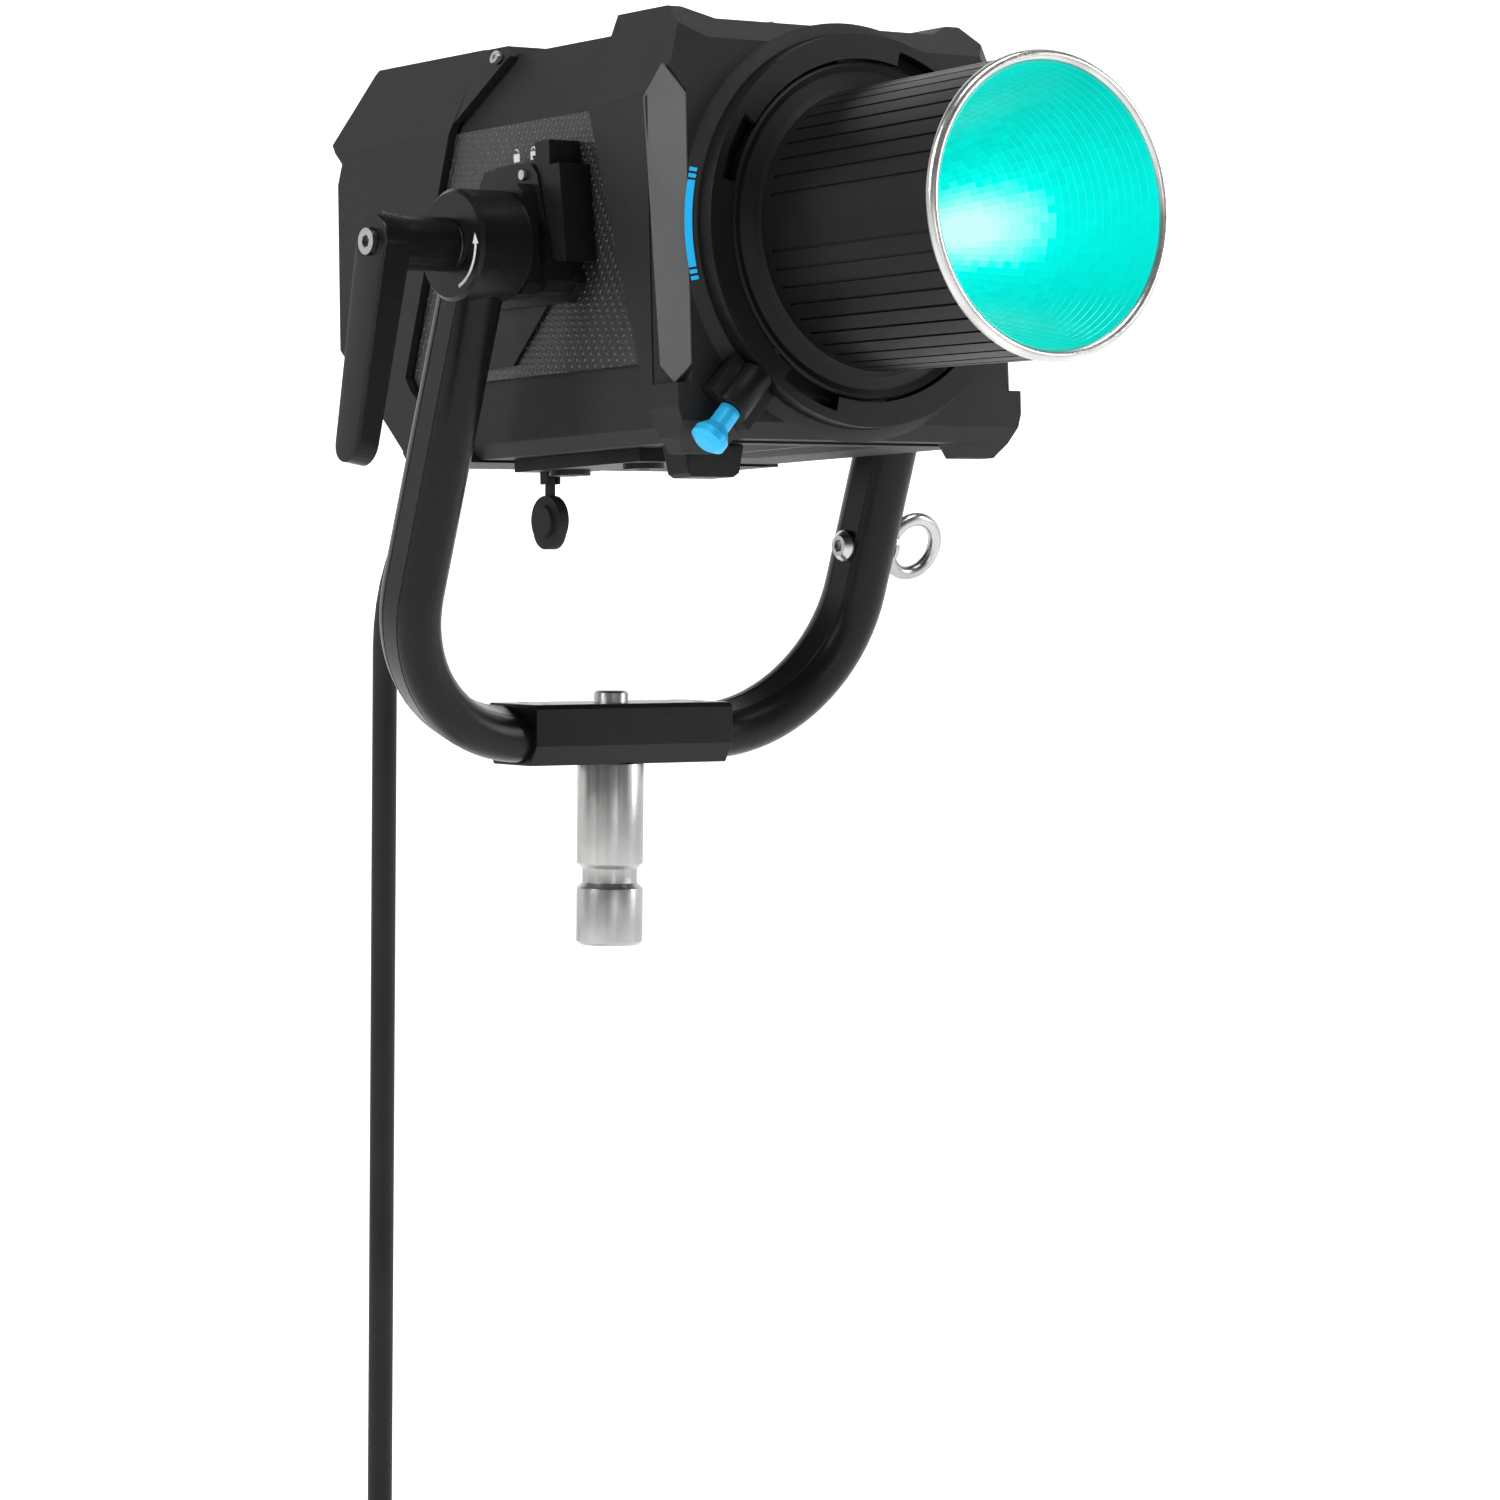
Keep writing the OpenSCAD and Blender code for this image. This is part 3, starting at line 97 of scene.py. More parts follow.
# %% Frames for the head and the yoke
joints = {j["name"]: j for j in frame["record"]["behaviour"]["joints"]}
pivot = Vector(joints["head_tilt"]["pos_m"])
barrel_back = Vector(joints["reflector_twist"]["axis"]).normalized()
head = Matrix.Translation(pivot) @ Matrix.Rotation(
    math.atan2(barrel_back.z, barrel_back.y), 4, "X")
optic_height = 0.0015
optic = head @ Matrix.Translation((0, 0, optic_height))
sleeve_low, sleeve_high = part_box("sleeve_block")
yoke_foot = Vector((0, 0, (sleeve_low.z + sleeve_high.z) / 2))
lean = math.atan2(-pivot.y, pivot.z - yoke_foot.z)
arm_len = (pivot - yoke_foot).length
yoke = Matrix.Translation(yoke_foot) @ Matrix.Rotation(lean, 4, "X")
print("head tilt", round(math.degrees(math.asin(-barrel_back.z)), 2),
      "yoke lean", round(math.degrees(lean), 2))

# %% [markdown]
# ## Making materials
# A finish is more than a colour. Under a soft light, powder coat shows a fine orange-peel grain,
# turned steel shows rings, and rubber shows wear. Every finish here starts from the Principled
# shader, and noise then varies its colour, its roughness and its bump. The noise reads Object
# coordinates, in metres, so that a grain is as large on one part as on the next.

# %% A helper that starts a finish
def new_finish(name, colour, rough, metal=0.0, **sockets):
    finish = bpy.data.materials.new(name)
    finish.use_nodes = True
    tree = finish.node_tree
    shader = tree.nodes["Principled BSDF"]
    shader.inputs["Base Color"].default_value = (*colour, 1)
    shader.inputs["Roughness"].default_value = rough
    shader.inputs["Metallic"].default_value = metal
    for socket, value in sockets.items():
        shader.inputs[socket.replace("_", " ")].default_value = value
    return finish, tree, shader

def add(tree, kind, **settings):
    node = tree.nodes.new(kind)
    for key, value in settings.items():
        if key in node.inputs:
            node.inputs[key].default_value = value
        else:
            setattr(node, key, value)
    return node

def object_place(tree, scale=(1, 1, 1), turn=(0, 0, 0)):
    place = add(tree, "ShaderNodeTexCoord")
    fit = add(tree, "ShaderNodeMapping")
    fit.inputs["Scale"].default_value = scale
    fit.inputs["Rotation"].default_value = turn
    tree.links.new(place.outputs["Object"], fit.inputs["Vector"])
    return fit.outputs["Vector"]

def spread(tree, value, low, high):
    ramp = add(tree, "ShaderNodeMapRange")
    ramp.inputs["To Min"].default_value = low
    ramp.inputs["To Max"].default_value = high
    tree.links.new(value, ramp.inputs["Value"])
    return ramp.outputs["Result"]

def two_tones(tree, shader, value, dark, light, sharp=(0.3, 0.7)):
    ramp = add(tree, "ShaderNodeValToRGB")
    ramp.color_ramp.elements[0].position = sharp[0]
    ramp.color_ramp.elements[1].position = sharp[1]
    ramp.color_ramp.elements[0].color = (*dark, 1)
    ramp.color_ramp.elements[1].color = (*light, 1)
    tree.links.new(value, ramp.inputs["Fac"])
    tree.links.new(ramp.outputs["Color"], shader.inputs["Base Color"])

def raise_surface(tree, shader, value, strength, height):
    bump = add(tree, "ShaderNodeBump")
    bump.inputs["Strength"].default_value = strength
    bump.inputs["Distance"].default_value = height
    tree.links.new(value, bump.inputs["Height"])
    tree.links.new(bump.outputs["Normal"], shader.inputs["Normal"])

# %% [markdown]
# ### Coated and moulded surfaces
# The casing, the bezel and the yoke are powder coated. The coat melts into a skin of fine bumps
# that scatter the light, so large faces look almost velvety and only the edges shine. Two noises
# make it: a fine one for the grain, and a slow one for the small changes in gloss that handling
# leaves. Moulded plastic and rubber are made the same way with other sizes. The specular level
# stays low, because a matt black skin sends back little light from any side.

# %% Grainy finishes
matt_shine = 0.14

def grainy(name, dark, light, rough, grain, bump, metal=0.0, **sockets):
    sockets.setdefault("Specular_IOR_Level", matt_shine)
    finish, tree, shader = new_finish(name, light, rough, metal, **sockets)
    place = object_place(tree)
    fine = add(tree, "ShaderNodeTexNoise", Scale=grain, Detail=4.0, Roughness=0.6)
    slow = add(tree, "ShaderNodeTexNoise", Scale=14.0, Detail=3.0, Roughness=0.55)
    for noise in (fine, slow):
        tree.links.new(place, noise.inputs["Vector"])
    two_tones(tree, shader, slow.outputs["Fac"], dark, light)
    tree.links.new(spread(tree, slow.outputs["Fac"], rough - 0.06, rough + 0.08),
                   shader.inputs["Roughness"])
    raise_surface(tree, shader, fine.outputs["Fac"], bump, 0.0004)
    return finish

casing_coat = grainy("casing powder coat", (0.011, 0.011, 0.0115), (0.016, 0.016, 0.0165),
                     0.50, 1900, 0.55)
yoke_coat = grainy("yoke satin coat", (0.005, 0.005, 0.0053), (0.008, 0.008, 0.0083),
                   0.26, 2300, 0.16)
accent_coat = grainy("accent grey coat", (0.065, 0.066, 0.068), (0.088, 0.089, 0.091),
                     0.46, 2000, 0.45)
black_anodised = grainy("black anodised aluminium", (0.005, 0.005, 0.0053),
                        (0.009, 0.009, 0.0093), 0.42, 2600, 0.14, metal=0.2)
moulded_black = grainy("moulded black plastic", (0.012, 0.012, 0.0125), (0.018, 0.018, 0.0185),
                       0.44, 1500, 0.25)
lead_rubber = grainy("lead rubber", (0.010, 0.010, 0.0105), (0.018, 0.018, 0.0185),
                     0.52, 900, 0.2)
cap_rubber = grainy("cap rubber", (0.008, 0.008, 0.008), (0.014, 0.014, 0.0142),
                    0.62, 1200, 0.25)
blue_anodised = grainy("blue anodised aluminium", (0.02, 0.32, 0.60), (0.03, 0.41, 0.72),
                       0.33, 2400, 0.12, metal=0.25)
red_rocker = grainy("red moulded plastic", (0.30, 0.012, 0.010), (0.42, 0.018, 0.014),
                    0.32, 1400, 0.1)
print("grainy finishes ready")

# %% [markdown]
# ### Bare metals
# Turned steel keeps the fine rings of the lathe, and drawn or sawn stock keeps straight lines. A
# noise stretched along one direction looks like both. Chrome has no grain, only a faint haze from
# handling. The long stretch is in the Mapping node's scale.

# %% Metal finishes
def bare_metal(name, dark, light, rough, stretch, bump):
    finish, tree, shader = new_finish(name, light, rough, 1.0)
    lines = add(tree, "ShaderNodeTexNoise", Scale=1.0, Detail=5.0, Roughness=0.65)
    tree.links.new(object_place(tree, stretch), lines.inputs["Vector"])
    haze = add(tree, "ShaderNodeTexNoise", Scale=35.0, Detail=3.0)
    tree.links.new(object_place(tree), haze.inputs["Vector"])
    two_tones(tree, shader, haze.outputs["Fac"], dark, light)
    tree.links.new(spread(tree, lines.outputs["Fac"], rough - 0.08, rough + 0.12),
                   shader.inputs["Roughness"])
    raise_surface(tree, shader, lines.outputs["Fac"], bump, 0.0002)
    return finish

turned_steel = bare_metal("turned steel", (0.30, 0.30, 0.30), (0.42, 0.42, 0.41), 0.30,
                          (60, 60, 2600), 0.25)
bright_steel = bare_metal("polished steel", (0.30, 0.30, 0.31), (0.44, 0.44, 0.44), 0.24,
                          (200, 200, 200), 0.05)
zinc_steel = bare_metal("zinc plated steel", (0.38, 0.39, 0.41), (0.55, 0.56, 0.58), 0.34,
                        (400, 400, 400), 0.1)
black_steel = bare_metal("black oxide steel", (0.020, 0.020, 0.022), (0.045, 0.045, 0.048),
                         0.38, (500, 500, 500), 0.12)
raw_aluminium = bare_metal("raw aluminium", (0.50, 0.51, 0.52), (0.66, 0.67, 0.68), 0.36,
                           (900, 40, 900), 0.2)
rim_metal = bare_metal("satin rim", (0.40, 0.40, 0.39), (0.60, 0.60, 0.58), 0.28,
                       (260, 260, 260), 0.22)
bush_bronze = bare_metal("sintered bronze", (0.30, 0.20, 0.10), (0.45, 0.31, 0.16), 0.42,
                         (700, 700, 700), 0.15)
print("metals ready")

# %% [markdown]
# ### The woven side panels
# The panels on the casing's sides have a twill weave, seen as slanting rows of small raised
# pads. Real fibre cloth could be drawn with thousands of tows, but at this size a bump pattern
# does the same. Two sine waves cross at a slant, and their product gives one pad per crossing.

# %% Weave finish
def woven(name):
    finish, tree, shader = new_finish(name, (0.02, 0.02, 0.021), 0.38, Coat_Weight=0.25,
                                      Coat_Roughness=0.25)
    place = add(tree, "ShaderNodeSeparateXYZ")
    tree.links.new(object_place(tree, turn=(math.radians(32), 0, 0)), place.inputs["Vector"])
    waves = []
    for socket, pitch in (("Y", 0.0046), ("Z", 0.0030)):
        along = add(tree, "ShaderNodeMath", operation="MULTIPLY")
        along.inputs[1].default_value = 2 * math.pi / pitch
        tree.links.new(place.outputs[socket], along.inputs[0])
        wave = add(tree, "ShaderNodeMath", operation="SINE")
        tree.links.new(along.outputs[0], wave.inputs[0])
        waves.append(spread(tree, wave.outputs[0], -0.2, 1.0))
    pads = add(tree, "ShaderNodeMath", operation="MULTIPLY")
    tree.links.new(waves[0], pads.inputs[0])
    tree.links.new(waves[1], pads.inputs[1])
    two_tones(tree, shader, pads.outputs[0], (0.002, 0.002, 0.0022), (0.070, 0.071, 0.073),
              (0.45, 0.85))
    tree.links.new(spread(tree, pads.outputs[0], 0.55, 0.30), shader.inputs["Roughness"])
    raise_surface(tree, shader, pads.outputs[0], 0.9, 0.0008)
    return finish

weave = woven("woven side panel")
print("weave ready")

# %% [markdown]
# ### Light, glass and the reflector
# The lamp is lit in a strong turquoise. The bowl is plated and pressed into many small facets, so
# it shows the colour of the chips at its throat again and again. It gets a half metallic shader
# for the sparkle, and a painted glow of its own for the light that bounces between the facets.
# Each facet carries a number called glow, and a colour ramp turns it into a deeper or a whiter
# turquoise. So the glow paints light: a painted highlight patch on one side deep in the bowl,
# painted shade towards its top and bottom, and more glow towards the throat.

# %% Glowing finishes
def glowing(name, colour, strength, rough=0.3, metal=0.0, base=None):
    finish, tree, shader = new_finish(name, base or colour, rough, metal)
    shader.inputs["Emission Color"].default_value = (*colour, 1)
    shader.inputs["Emission Strength"].default_value = strength
    return finish, tree, shader

turquoise = (0.0, 0.80, 0.62)
bowl_finish, tree, shader = glowing("reflector facets", turquoise, 0.95, 0.25, 0.4,
                                    (0.002, 0.14, 0.12))
facet_glow = add(tree, "ShaderNodeAttribute", attribute_name="glow")
tones = add(tree, "ShaderNodeValToRGB")
tones.color_ramp.elements[0].position = 0.30
tones.color_ramp.elements[0].color = (0.0, 0.45, 0.37, 1)
tones.color_ramp.elements[1].position = 0.62
tones.color_ramp.elements[1].color = (0.0, 0.95, 0.84, 1)
# The whitest stop is the painted highlight on the facets.
painted_highlight_tone = tones.color_ramp.elements.new(1.0)
painted_highlight_tone.color = (0.62, 1.0, 0.93, 1)
tree.links.new(facet_glow.outputs["Fac"], tones.inputs["Fac"])
tree.links.new(tones.outputs["Color"], shader.inputs["Emission Color"])
haze = add(tree, "ShaderNodeTexNoise", Scale=60.0, Detail=3.0)
tree.links.new(object_place(tree), haze.inputs["Vector"])
tree.links.new(spread(tree, haze.outputs["Fac"], 0.16, 0.34), shader.inputs["Roughness"])
chip_light = glowing("lit chips", (0.10, 1.0, 0.85), 2.5)[0]
screen_light = glowing("lit screen", (0.35, 0.75, 0.85), 1.1, 0.2)[0]
clear_glass = new_finish("clear glass", (0.9, 0.97, 0.96), 0.03, Transmission_Weight=1.0,
                         IOR=1.5)[0]
screen_glass = new_finish("screen glass", (0.006, 0.010, 0.012), 0.08, Coat_Weight=0.6)[0]
board_green = grainy("solder mask", (0.008, 0.045, 0.02), (0.012, 0.07, 0.03), 0.3, 700, 0.1)
blue_print = grainy("blue print", (0.01, 0.31, 0.64), (0.015, 0.37, 0.72), 0.45, 2500, 0.05)
white_print = grainy("white print", (0.55, 0.55, 0.55), (0.68, 0.68, 0.68), 0.5, 2500, 0.05)
print("lights and glass ready")

# %% [markdown]
# ## Finishing the CAD parts
# A part whose shape is already right only needs its finish. Sharp CAD edges never catch the
# light, though, and real ones are broken by a file, a mould radius or paint. A Weld modifier
# joins the loose triangles, and a Bevel modifier then rounds only the edges that turn sharply.

# %% Give each CAD part its finish and its edge
def soften(node, width, turn=28, segments=2):
    piece = nodes[node]
    weld = piece.modifiers.new("join", "WELD")
    weld.merge_threshold = 0.00002
    bevel = piece.modifiers.new("soft edge", "BEVEL")
    bevel.width, bevel.segments = width, segments
    bevel.limit_method, bevel.angle_limit = "ANGLE", math.radians(turn)
    bevel.harden_normals = True
    bevel.use_clamp_overlap = True

parts = {
    casing_coat: ["middle_casing", "front_bezel", "rear_cover", "underside_grille"],
    accent_coat: ["bezel_accents"],
    weave: ["side_panel_left", "side_panel_right"],
    yoke_coat: ["yoke_hub_left", "yoke_hub_right", "sleeve_block", "tilt_bracket_left",
                "tilt_bracket_right", "lever_handle"],
    black_anodised: ["mount_ring", "accessory_plate", "foot_block", "release_boss",
                     "reflector_barrel", "bracket_rails"],
    moulded_black: ["control_panel", "power_inlet", "cable_connector", "fan_frame",
                    "fan_rotor_left", "fan_rotor_right", "dimmer_knob", "menu_knob",
                    "key_menu", "key_back"],
    cap_rubber: ["port_cap"], blue_anodised: ["release_pin"], red_rocker: ["power_rocker"],
    turned_steel: ["spigot"], bright_steel: ["eye_bolt", "eye_bolt_screw", "lever_screw"],
    zinc_steel: ["cover_screws", "tilt_studs", "clamp_insert", "lever_spring",
                 "release_spring", "lock_button_left", "lock_button_right"],
    black_steel: ["sleeve_screws", "friction_discs", "pivot_cap_right"],
    raw_aluminium: ["heat_sink", "led_clamp", "power_supply"],
    bush_bronze: ["tilt_bushes"], rim_metal: ["reflector_rim"],
    clear_glass: ["front_glass"], screen_glass: ["display"], board_green: ["driver_board"],
    chip_light: ["led_board"],
}
for finish, names in parts.items():
    for name in names:
        for place in nodes[name].material_slots:
            place.material = finish
edges = {0.0011: ["front_bezel", "rear_cover", "tilt_bracket_left", "tilt_bracket_right"],
         0.0008: ["middle_casing", "sleeve_block", "foot_block", "lever_handle",
                  "release_boss", "bracket_rails", "accessory_plate"],
         0.0004: ["bezel_accents", "mount_ring", "spigot", "eye_bolt_screw", "port_cap",
                  "control_panel", "power_rocker", "key_menu", "key_back", "pivot_cap_right"]}
for width, names in edges.items():
    for name in names:
        soften(name, width)
print("finished parts:", sum(len(v) for v in parts.values()))

# %% [markdown]
# ## Helpers for new pieces
# Each new piece is built with bmesh operators in a simple place, at the origin and along an
# axis. The helper then moves the mesh itself to where the part stands, so the object stays at
# the origin. Last, the piece is told which body it rides on.

# %% Finish a new piece
def keep(name, mesh, place, finish, body, smooth=True, angle=35):
    bmesh.ops.remove_doubles(mesh, verts=mesh.verts, dist=1e-6)
    bmesh.ops.transform(mesh, matrix=place, verts=mesh.verts)
    bmesh.ops.recalc_face_normals(mesh, faces=mesh.faces)
    data = bpy.data.meshes.new(name)
    mesh.to_mesh(data)
    mesh.free()
    piece = bpy.data.objects.new(name, data)
    bpy.context.scene.collection.objects.link(piece)
    data.materials.append(finish)
    if smooth:
        data.shade_smooth()
        data.set_sharp_from_angle(angle=math.radians(angle))
    if body:
        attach(piece, body)
    print(name, len(data.polygons), "faces")
    return piece

# %% [markdown]
# ## The power lead
# The lead is 4.5 m of round rubber cable, 11 mm thick. It leaves the plug-in connector under
# the rear cover, hangs straight down behind the yoke, and the rest is wound in a neat coil with
# the mains plug beside it. Each turn of the coil keeps its own place in a bundle of three by
# three, and changes place a little earlier than the turn before, so that no two turns cross. The
# places of the connector and of the bends are in metres.

# %% The lead's route
lead_d = 0.011
inlet_low, inlet_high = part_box("lead")
coil_low, coil_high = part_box("lead_coil")
lead_x = (inlet_low.x + inlet_high.x) / 2
coil_mid = (coil_low + coil_high) / 2
coil_r = (coil_high.y - coil_low.y) / 2 - (coil_high.x - coil_low.x) / 2
inlet_y, inlet_z, connector_len = 0.131, -0.0535, 0.042
straight_run, top_bend_r = 0.032, 0.080
fall_low, low_bend_r, low_bend_turn = -0.350, 0.048, math.radians(70)
plug_slant, head_lean = 45, 2.9
down = math.radians(plug_slant + head_lean)
drop = Vector((0, math.cos(down), -math.sin(down)))
connector_tip = head @ Vector((lead_x, inlet_y + connector_len * math.cos(math.pi / 4),
                               inlet_z - connector_len * math.sin(math.pi / 4)))
exit_point = connector_tip + 0.0003 * drop
route = [exit_point + drop * t for t in (0, 0.010, 0.021)]
bend = exit_point + drop * straight_run
for i in range(7):
    a = down + (math.pi / 2 - down) * i / 6
    route.append(bend + top_bend_r * Vector((0, math.sin(a) - math.sin(down),
                                             math.cos(a) - math.cos(down))))
fall_y = route[-1].y
for z in [0.02 - 0.03 * i for i in range(13)]:
    if fall_low + 0.005 < z < route[-1].z - 0.02:
        route.append(Vector((lead_x, fall_y, z)))
for i in range(8):
    a = low_bend_turn * i / 7
    route.append(Vector((lead_x, fall_y + low_bend_r * (1 - math.cos(a)),
                         fall_low - low_bend_r * math.sin(a))))
slots = [(1, -1), (0, -1), (-1, -1), (-1, 0), (-1, 1), (0, 1), (0, 0), (1, 0), (1, 1)]
steps, shift = 36, 3
turn = math.radians(20)
for k, (r, x) in enumerate(slots):
    last = k == len(slots) - 1
    following = slots[min(k + 1, len(slots) - 1)]
    count = steps - shift if not last else steps - 5
    for i in range(1, count + 1):
        turn += 2 * math.pi / steps
        blend = 0.0 if last else max(0.0, (i - count + shift) / shift)
        blend = blend * blend * (3 - 2 * blend)
        rr = coil_r + lead_d * (r + (following[0] - r) * blend)
        xx = coil_mid.x + lead_d * (x + (following[1] - x) * blend)
        route.append(Vector((xx, coil_mid.y + rr * math.sin(turn),
                             coil_mid.z + rr * math.cos(turn))))
print("route points", len(route), "turned", round(math.degrees(turn)),
      "long", round(sum((b - a).length for a, b in zip(route, route[1:])), 3))

# %% [markdown]
# Blender sweeps a round section along a curve by itself, and the curve is then turned into a
# mesh.

# %% Make the lead
def tube_along(name, points, radius, sides=5):
    line = bpy.data.curves.new(name, "CURVE")
    line.dimensions, line.bevel_depth, line.bevel_resolution = "3D", radius, sides
    line.use_fill_caps = True
    run = line.splines.new("POLY")
    run.points.add(len(points) - 1)
    for spot, point in zip(run.points, points):
        spot.co = (*point, 1)
    swept = bpy.data.objects.new(name, line)
    bpy.context.scene.collection.objects.link(swept)
    bpy.context.view_layer.update()
    data = bpy.data.meshes.new_from_object(swept)
    bpy.data.objects.remove(swept)
    tube = bmesh.new()
    tube.from_mesh(data)
    bpy.data.meshes.remove(data)
    return tube

tail_top = route[-1]
plug_low, plug_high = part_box("mains_plug")
tail_step = 0.012
route += [tail_top + Vector((0, 0, -tail_step * i)) for i in (1, 2, 3)]
lead = keep("power_lead", tube_along("power_lead", route, lead_d / 2), Matrix(),
            lead_rubber, None, angle=60)
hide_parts("lead", "lead_coil")

# %% [markdown]
# ### The plug and the tie
# A mains plug is moulded onto the end of its lead: a ribbed relief, a round body with a waist to
# grip, and metal pins. All but the pins are turned shapes, so each is a profile that is spun
# round an axis. The coil is held together by one flat strap.

# %% Turned shapes
def turned(profile, segments=48, span=2 * math.pi, start=0.0):
    """Spins (radius, height) points round Z."""
    mesh = bmesh.new()
    spots = [mesh.verts.new((r, 0, z)) for r, z in profile]
    line = [mesh.edges.new(pair) for pair in zip(spots, spots[1:])]
    full = abs(span - 2 * math.pi) < 1e-6
    if start:
        bmesh.ops.rotate(mesh, cent=(0, 0, 0), verts=spots,
                         matrix=Matrix.Rotation(start, 3, "Z"))
    bmesh.ops.spin(mesh, geom=spots + line, cent=(0, 0, 0), axis=(0, 0, 1), dvec=(0, 0, 0),
                   angle=span, steps=segments, use_merge=full, use_duplicate=False)
    bmesh.ops.remove_doubles(mesh, verts=mesh.verts, dist=1e-6)
    return mesh

plug_x = (plug_low.x + plug_high.x) / 2
plug_y = tail_top.y
plug_top = tail_top.z - 3 * tail_step - 0.001
relief = [(0.0056, 0.0), (0.0062, -0.001)]
for i in range(4):
    z = -0.002 - 0.0048 * i
    relief += [(0.0066 + 0.0005 * i, z), (0.0066 + 0.0005 * i, z - 0.0022),
               (0.0058 + 0.0005 * i, z - 0.0026), (0.0058 + 0.0005 * i, z - 0.0042)]
body = [(0.0105, -0.0225), (0.0135, -0.0245), (0.0160, -0.0300), (0.0164, -0.0350),
        (0.0152, -0.0400), (0.0150, -0.0440), (0.0162, -0.0485), (0.0165, -0.0535),
        (0.0158, -0.0548), (0.0, -0.0550)]
plug_body = keep("plug_body", turned([(0.0, 0.0)] + relief + body), Matrix.Translation(
    (plug_x, plug_y, plug_top)), lead_rubber, "yoke")
pins = bmesh.new()
for x in (-0.0063, 0.0063):
    blade = bmesh.ops.create_cube(pins, size=1)["verts"]
    bmesh.ops.scale(pins, vec=(0.0015, 0.0063, 0.018), verts=blade)
    bmesh.ops.translate(pins, vec=(x, 0, -0.0635), verts=blade)
ground = bmesh.ops.create_cone(pins, cap_ends=True, segments=20, radius1=0.0018,
                               radius2=0.0024, depth=0.020)["verts"]
bmesh.ops.translate(pins, vec=(0, 0.0095, -0.0645), verts=ground)
plug_pins = keep("plug_pins", pins, Matrix.Translation((plug_x, plug_y, plug_top)),
                 bush_bronze, "yoke")
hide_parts("mains_plug")

tie = bmesh.new()
strap_half, strap_w = 0.0166, 0.014
bmesh.ops.create_circle(tie, segments=32, radius=0.0168)
for spot in tie.verts:
    spot.co.x = max(-strap_half, min(strap_half, spot.co.x * 1.25))
    spot.co.y = max(-strap_half, min(strap_half, spot.co.y * 1.25))
lower = list(tie.edges)
upper = bmesh.ops.extrude_edge_only(tie, edges=lower)["geom"]
bmesh.ops.translate(tie, vec=(0, 0, strap_w), verts=[v for v in upper
                                                  if isinstance(v, bmesh.types.BMVert)])
bmesh.ops.solidify(tie, geom=tie.faces, thickness=-0.0009)
tie_place = Matrix.Translation((coil_mid.x, coil_mid.y - coil_r, coil_mid.z - strap_w / 2))
coil_tie = keep("coil_tie", tie, tie_place, cap_rubber, "yoke")
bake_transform(lead)

# %% [markdown]
# ## The reflector bowl
# The bowl is a deep parabola of thin metal. Its inside is pressed into rings of small flat
# facets, each a little tilted from the next, and these spread the beam evenly. Spinning a short
# profile and leaving the faces flat gives just that. Each facet is then inset a little, so that
# a fine line runs between neighbours.

# %% Spin the faceted bowl
throat_r, mouth_r, bowl_len = 0.026, 0.0555, 0.115
ring_front, rim_depth = 0.107, 0.0043
rings, round_steps = 30, 84
profile = []
for i in range(rings + 1):
    s = (bowl_len - 0.001) * i / rings
    r = math.sqrt(throat_r ** 2 + (mouth_r ** 2 - throat_r ** 2) * s / bowl_len)
    profile.append((r, s))
bowl = turned(profile, round_steps)
bmesh.ops.recalc_face_normals(bowl, faces=bowl.faces)
glow = bowl.faces.layers.float.new("glow")
luck = random.Random(7)
for facet in bowl.faces:
    spot = facet.calc_center_median()
    depth = 1 - spot.z / bowl_len
    side = math.atan2(spot.y, spot.x - 0.006)
    # Painted light: the patch is a painted highlight on the +X side deep in the bowl, height
    # darkens the top and bottom as painted shade, and depth adds glow towards the throat.
    painted_highlight_patch = math.exp(-(side / 0.42) ** 2) * max(0.0, 1 - abs(depth - 0.80) / 0.40)
    height = math.cos(math.atan2(spot.x, spot.y))
    facet[glow] = (0.50 + 0.16 * depth + 0.52 * painted_highlight_patch - 0.24 * height * height
                   + luck.uniform(-0.03, 0.03) * (0.4 + depth))
bmesh.ops.inset_individual(bowl, faces=list(bowl.faces), thickness=0.00022, depth=0.00010)
to_barrel = optic @ Matrix.Rotation(math.radians(90), 4, "X")
bowl_piece = keep("reflector_facets", bowl, to_barrel @ Matrix.Translation(
    (0, 0, ring_front - 0.001)), bowl_finish, "reflector", smooth=False)
shell = bowl_piece.modifiers.new("thin wall", "SOLIDIFY")
shell.thickness, shell.offset = 0.0010, 1.0
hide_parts("reflector_bowl")

# %% [markdown]
# The rim is a bright ring that is rolled over the end of the barrel. Its profile is round at the
# front, where hands touch it.

# %% Spin the rim
rim_back = ring_front + bowl_len - rim_depth
lip = [(0.0559, 0.0), (0.0559, 0.0022), (0.0563, 0.0034), (0.0572, 0.0041), (0.0582, 0.0043),
       (0.0594, 0.0040), (0.0601, 0.0032), (0.0604, 0.0020), (0.0604, 0.0008), (0.0598, 0.0),
       (0.0559, 0.0)]
rim = keep("barrel_rim", turned(lip, 96), to_barrel @ Matrix.Translation((0, 0, rim_back)),
           rim_metal, "reflector", angle=50)
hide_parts("reflector_rim")

# %% [markdown]
# ## The yoke's tube
# The yoke is one length of flat-sided tube, bent twice. Four fine grooves run along it, where
# the flat faces meet the round ones. An outline of the section is extruded down one arm, spun
# round the first bend, extruded along the bottom, and so on up to the other hub.

# %% Bend the yoke's tube
bend_r, arm_x, half_t, flat = 0.066, 0.116, 0.010, 0.0055
quarter = [(half_t, 0.0), (half_t, flat - 0.0004), (half_t - 0.0006, flat),
           (half_t - 0.00005, flat + 0.0006)]
for i in range(1, 8):
    a = math.radians(90) * i / 7
    quarter.append((half_t * math.cos(a), flat + half_t * math.sin(a)))
outline = quarter[:-1] + [(-x, y) for x, y in reversed(quarter[1:])]
outline = outline + [(-x, -y) for x, y in outline]
section = bmesh.new()
loop = [section.verts.new((x - arm_x, y, arm_len)) for x, y in outline]
edge_loop = [section.edges.new((loop[i], loop[(i + 1) % len(loop)])) for i in range(len(loop))]

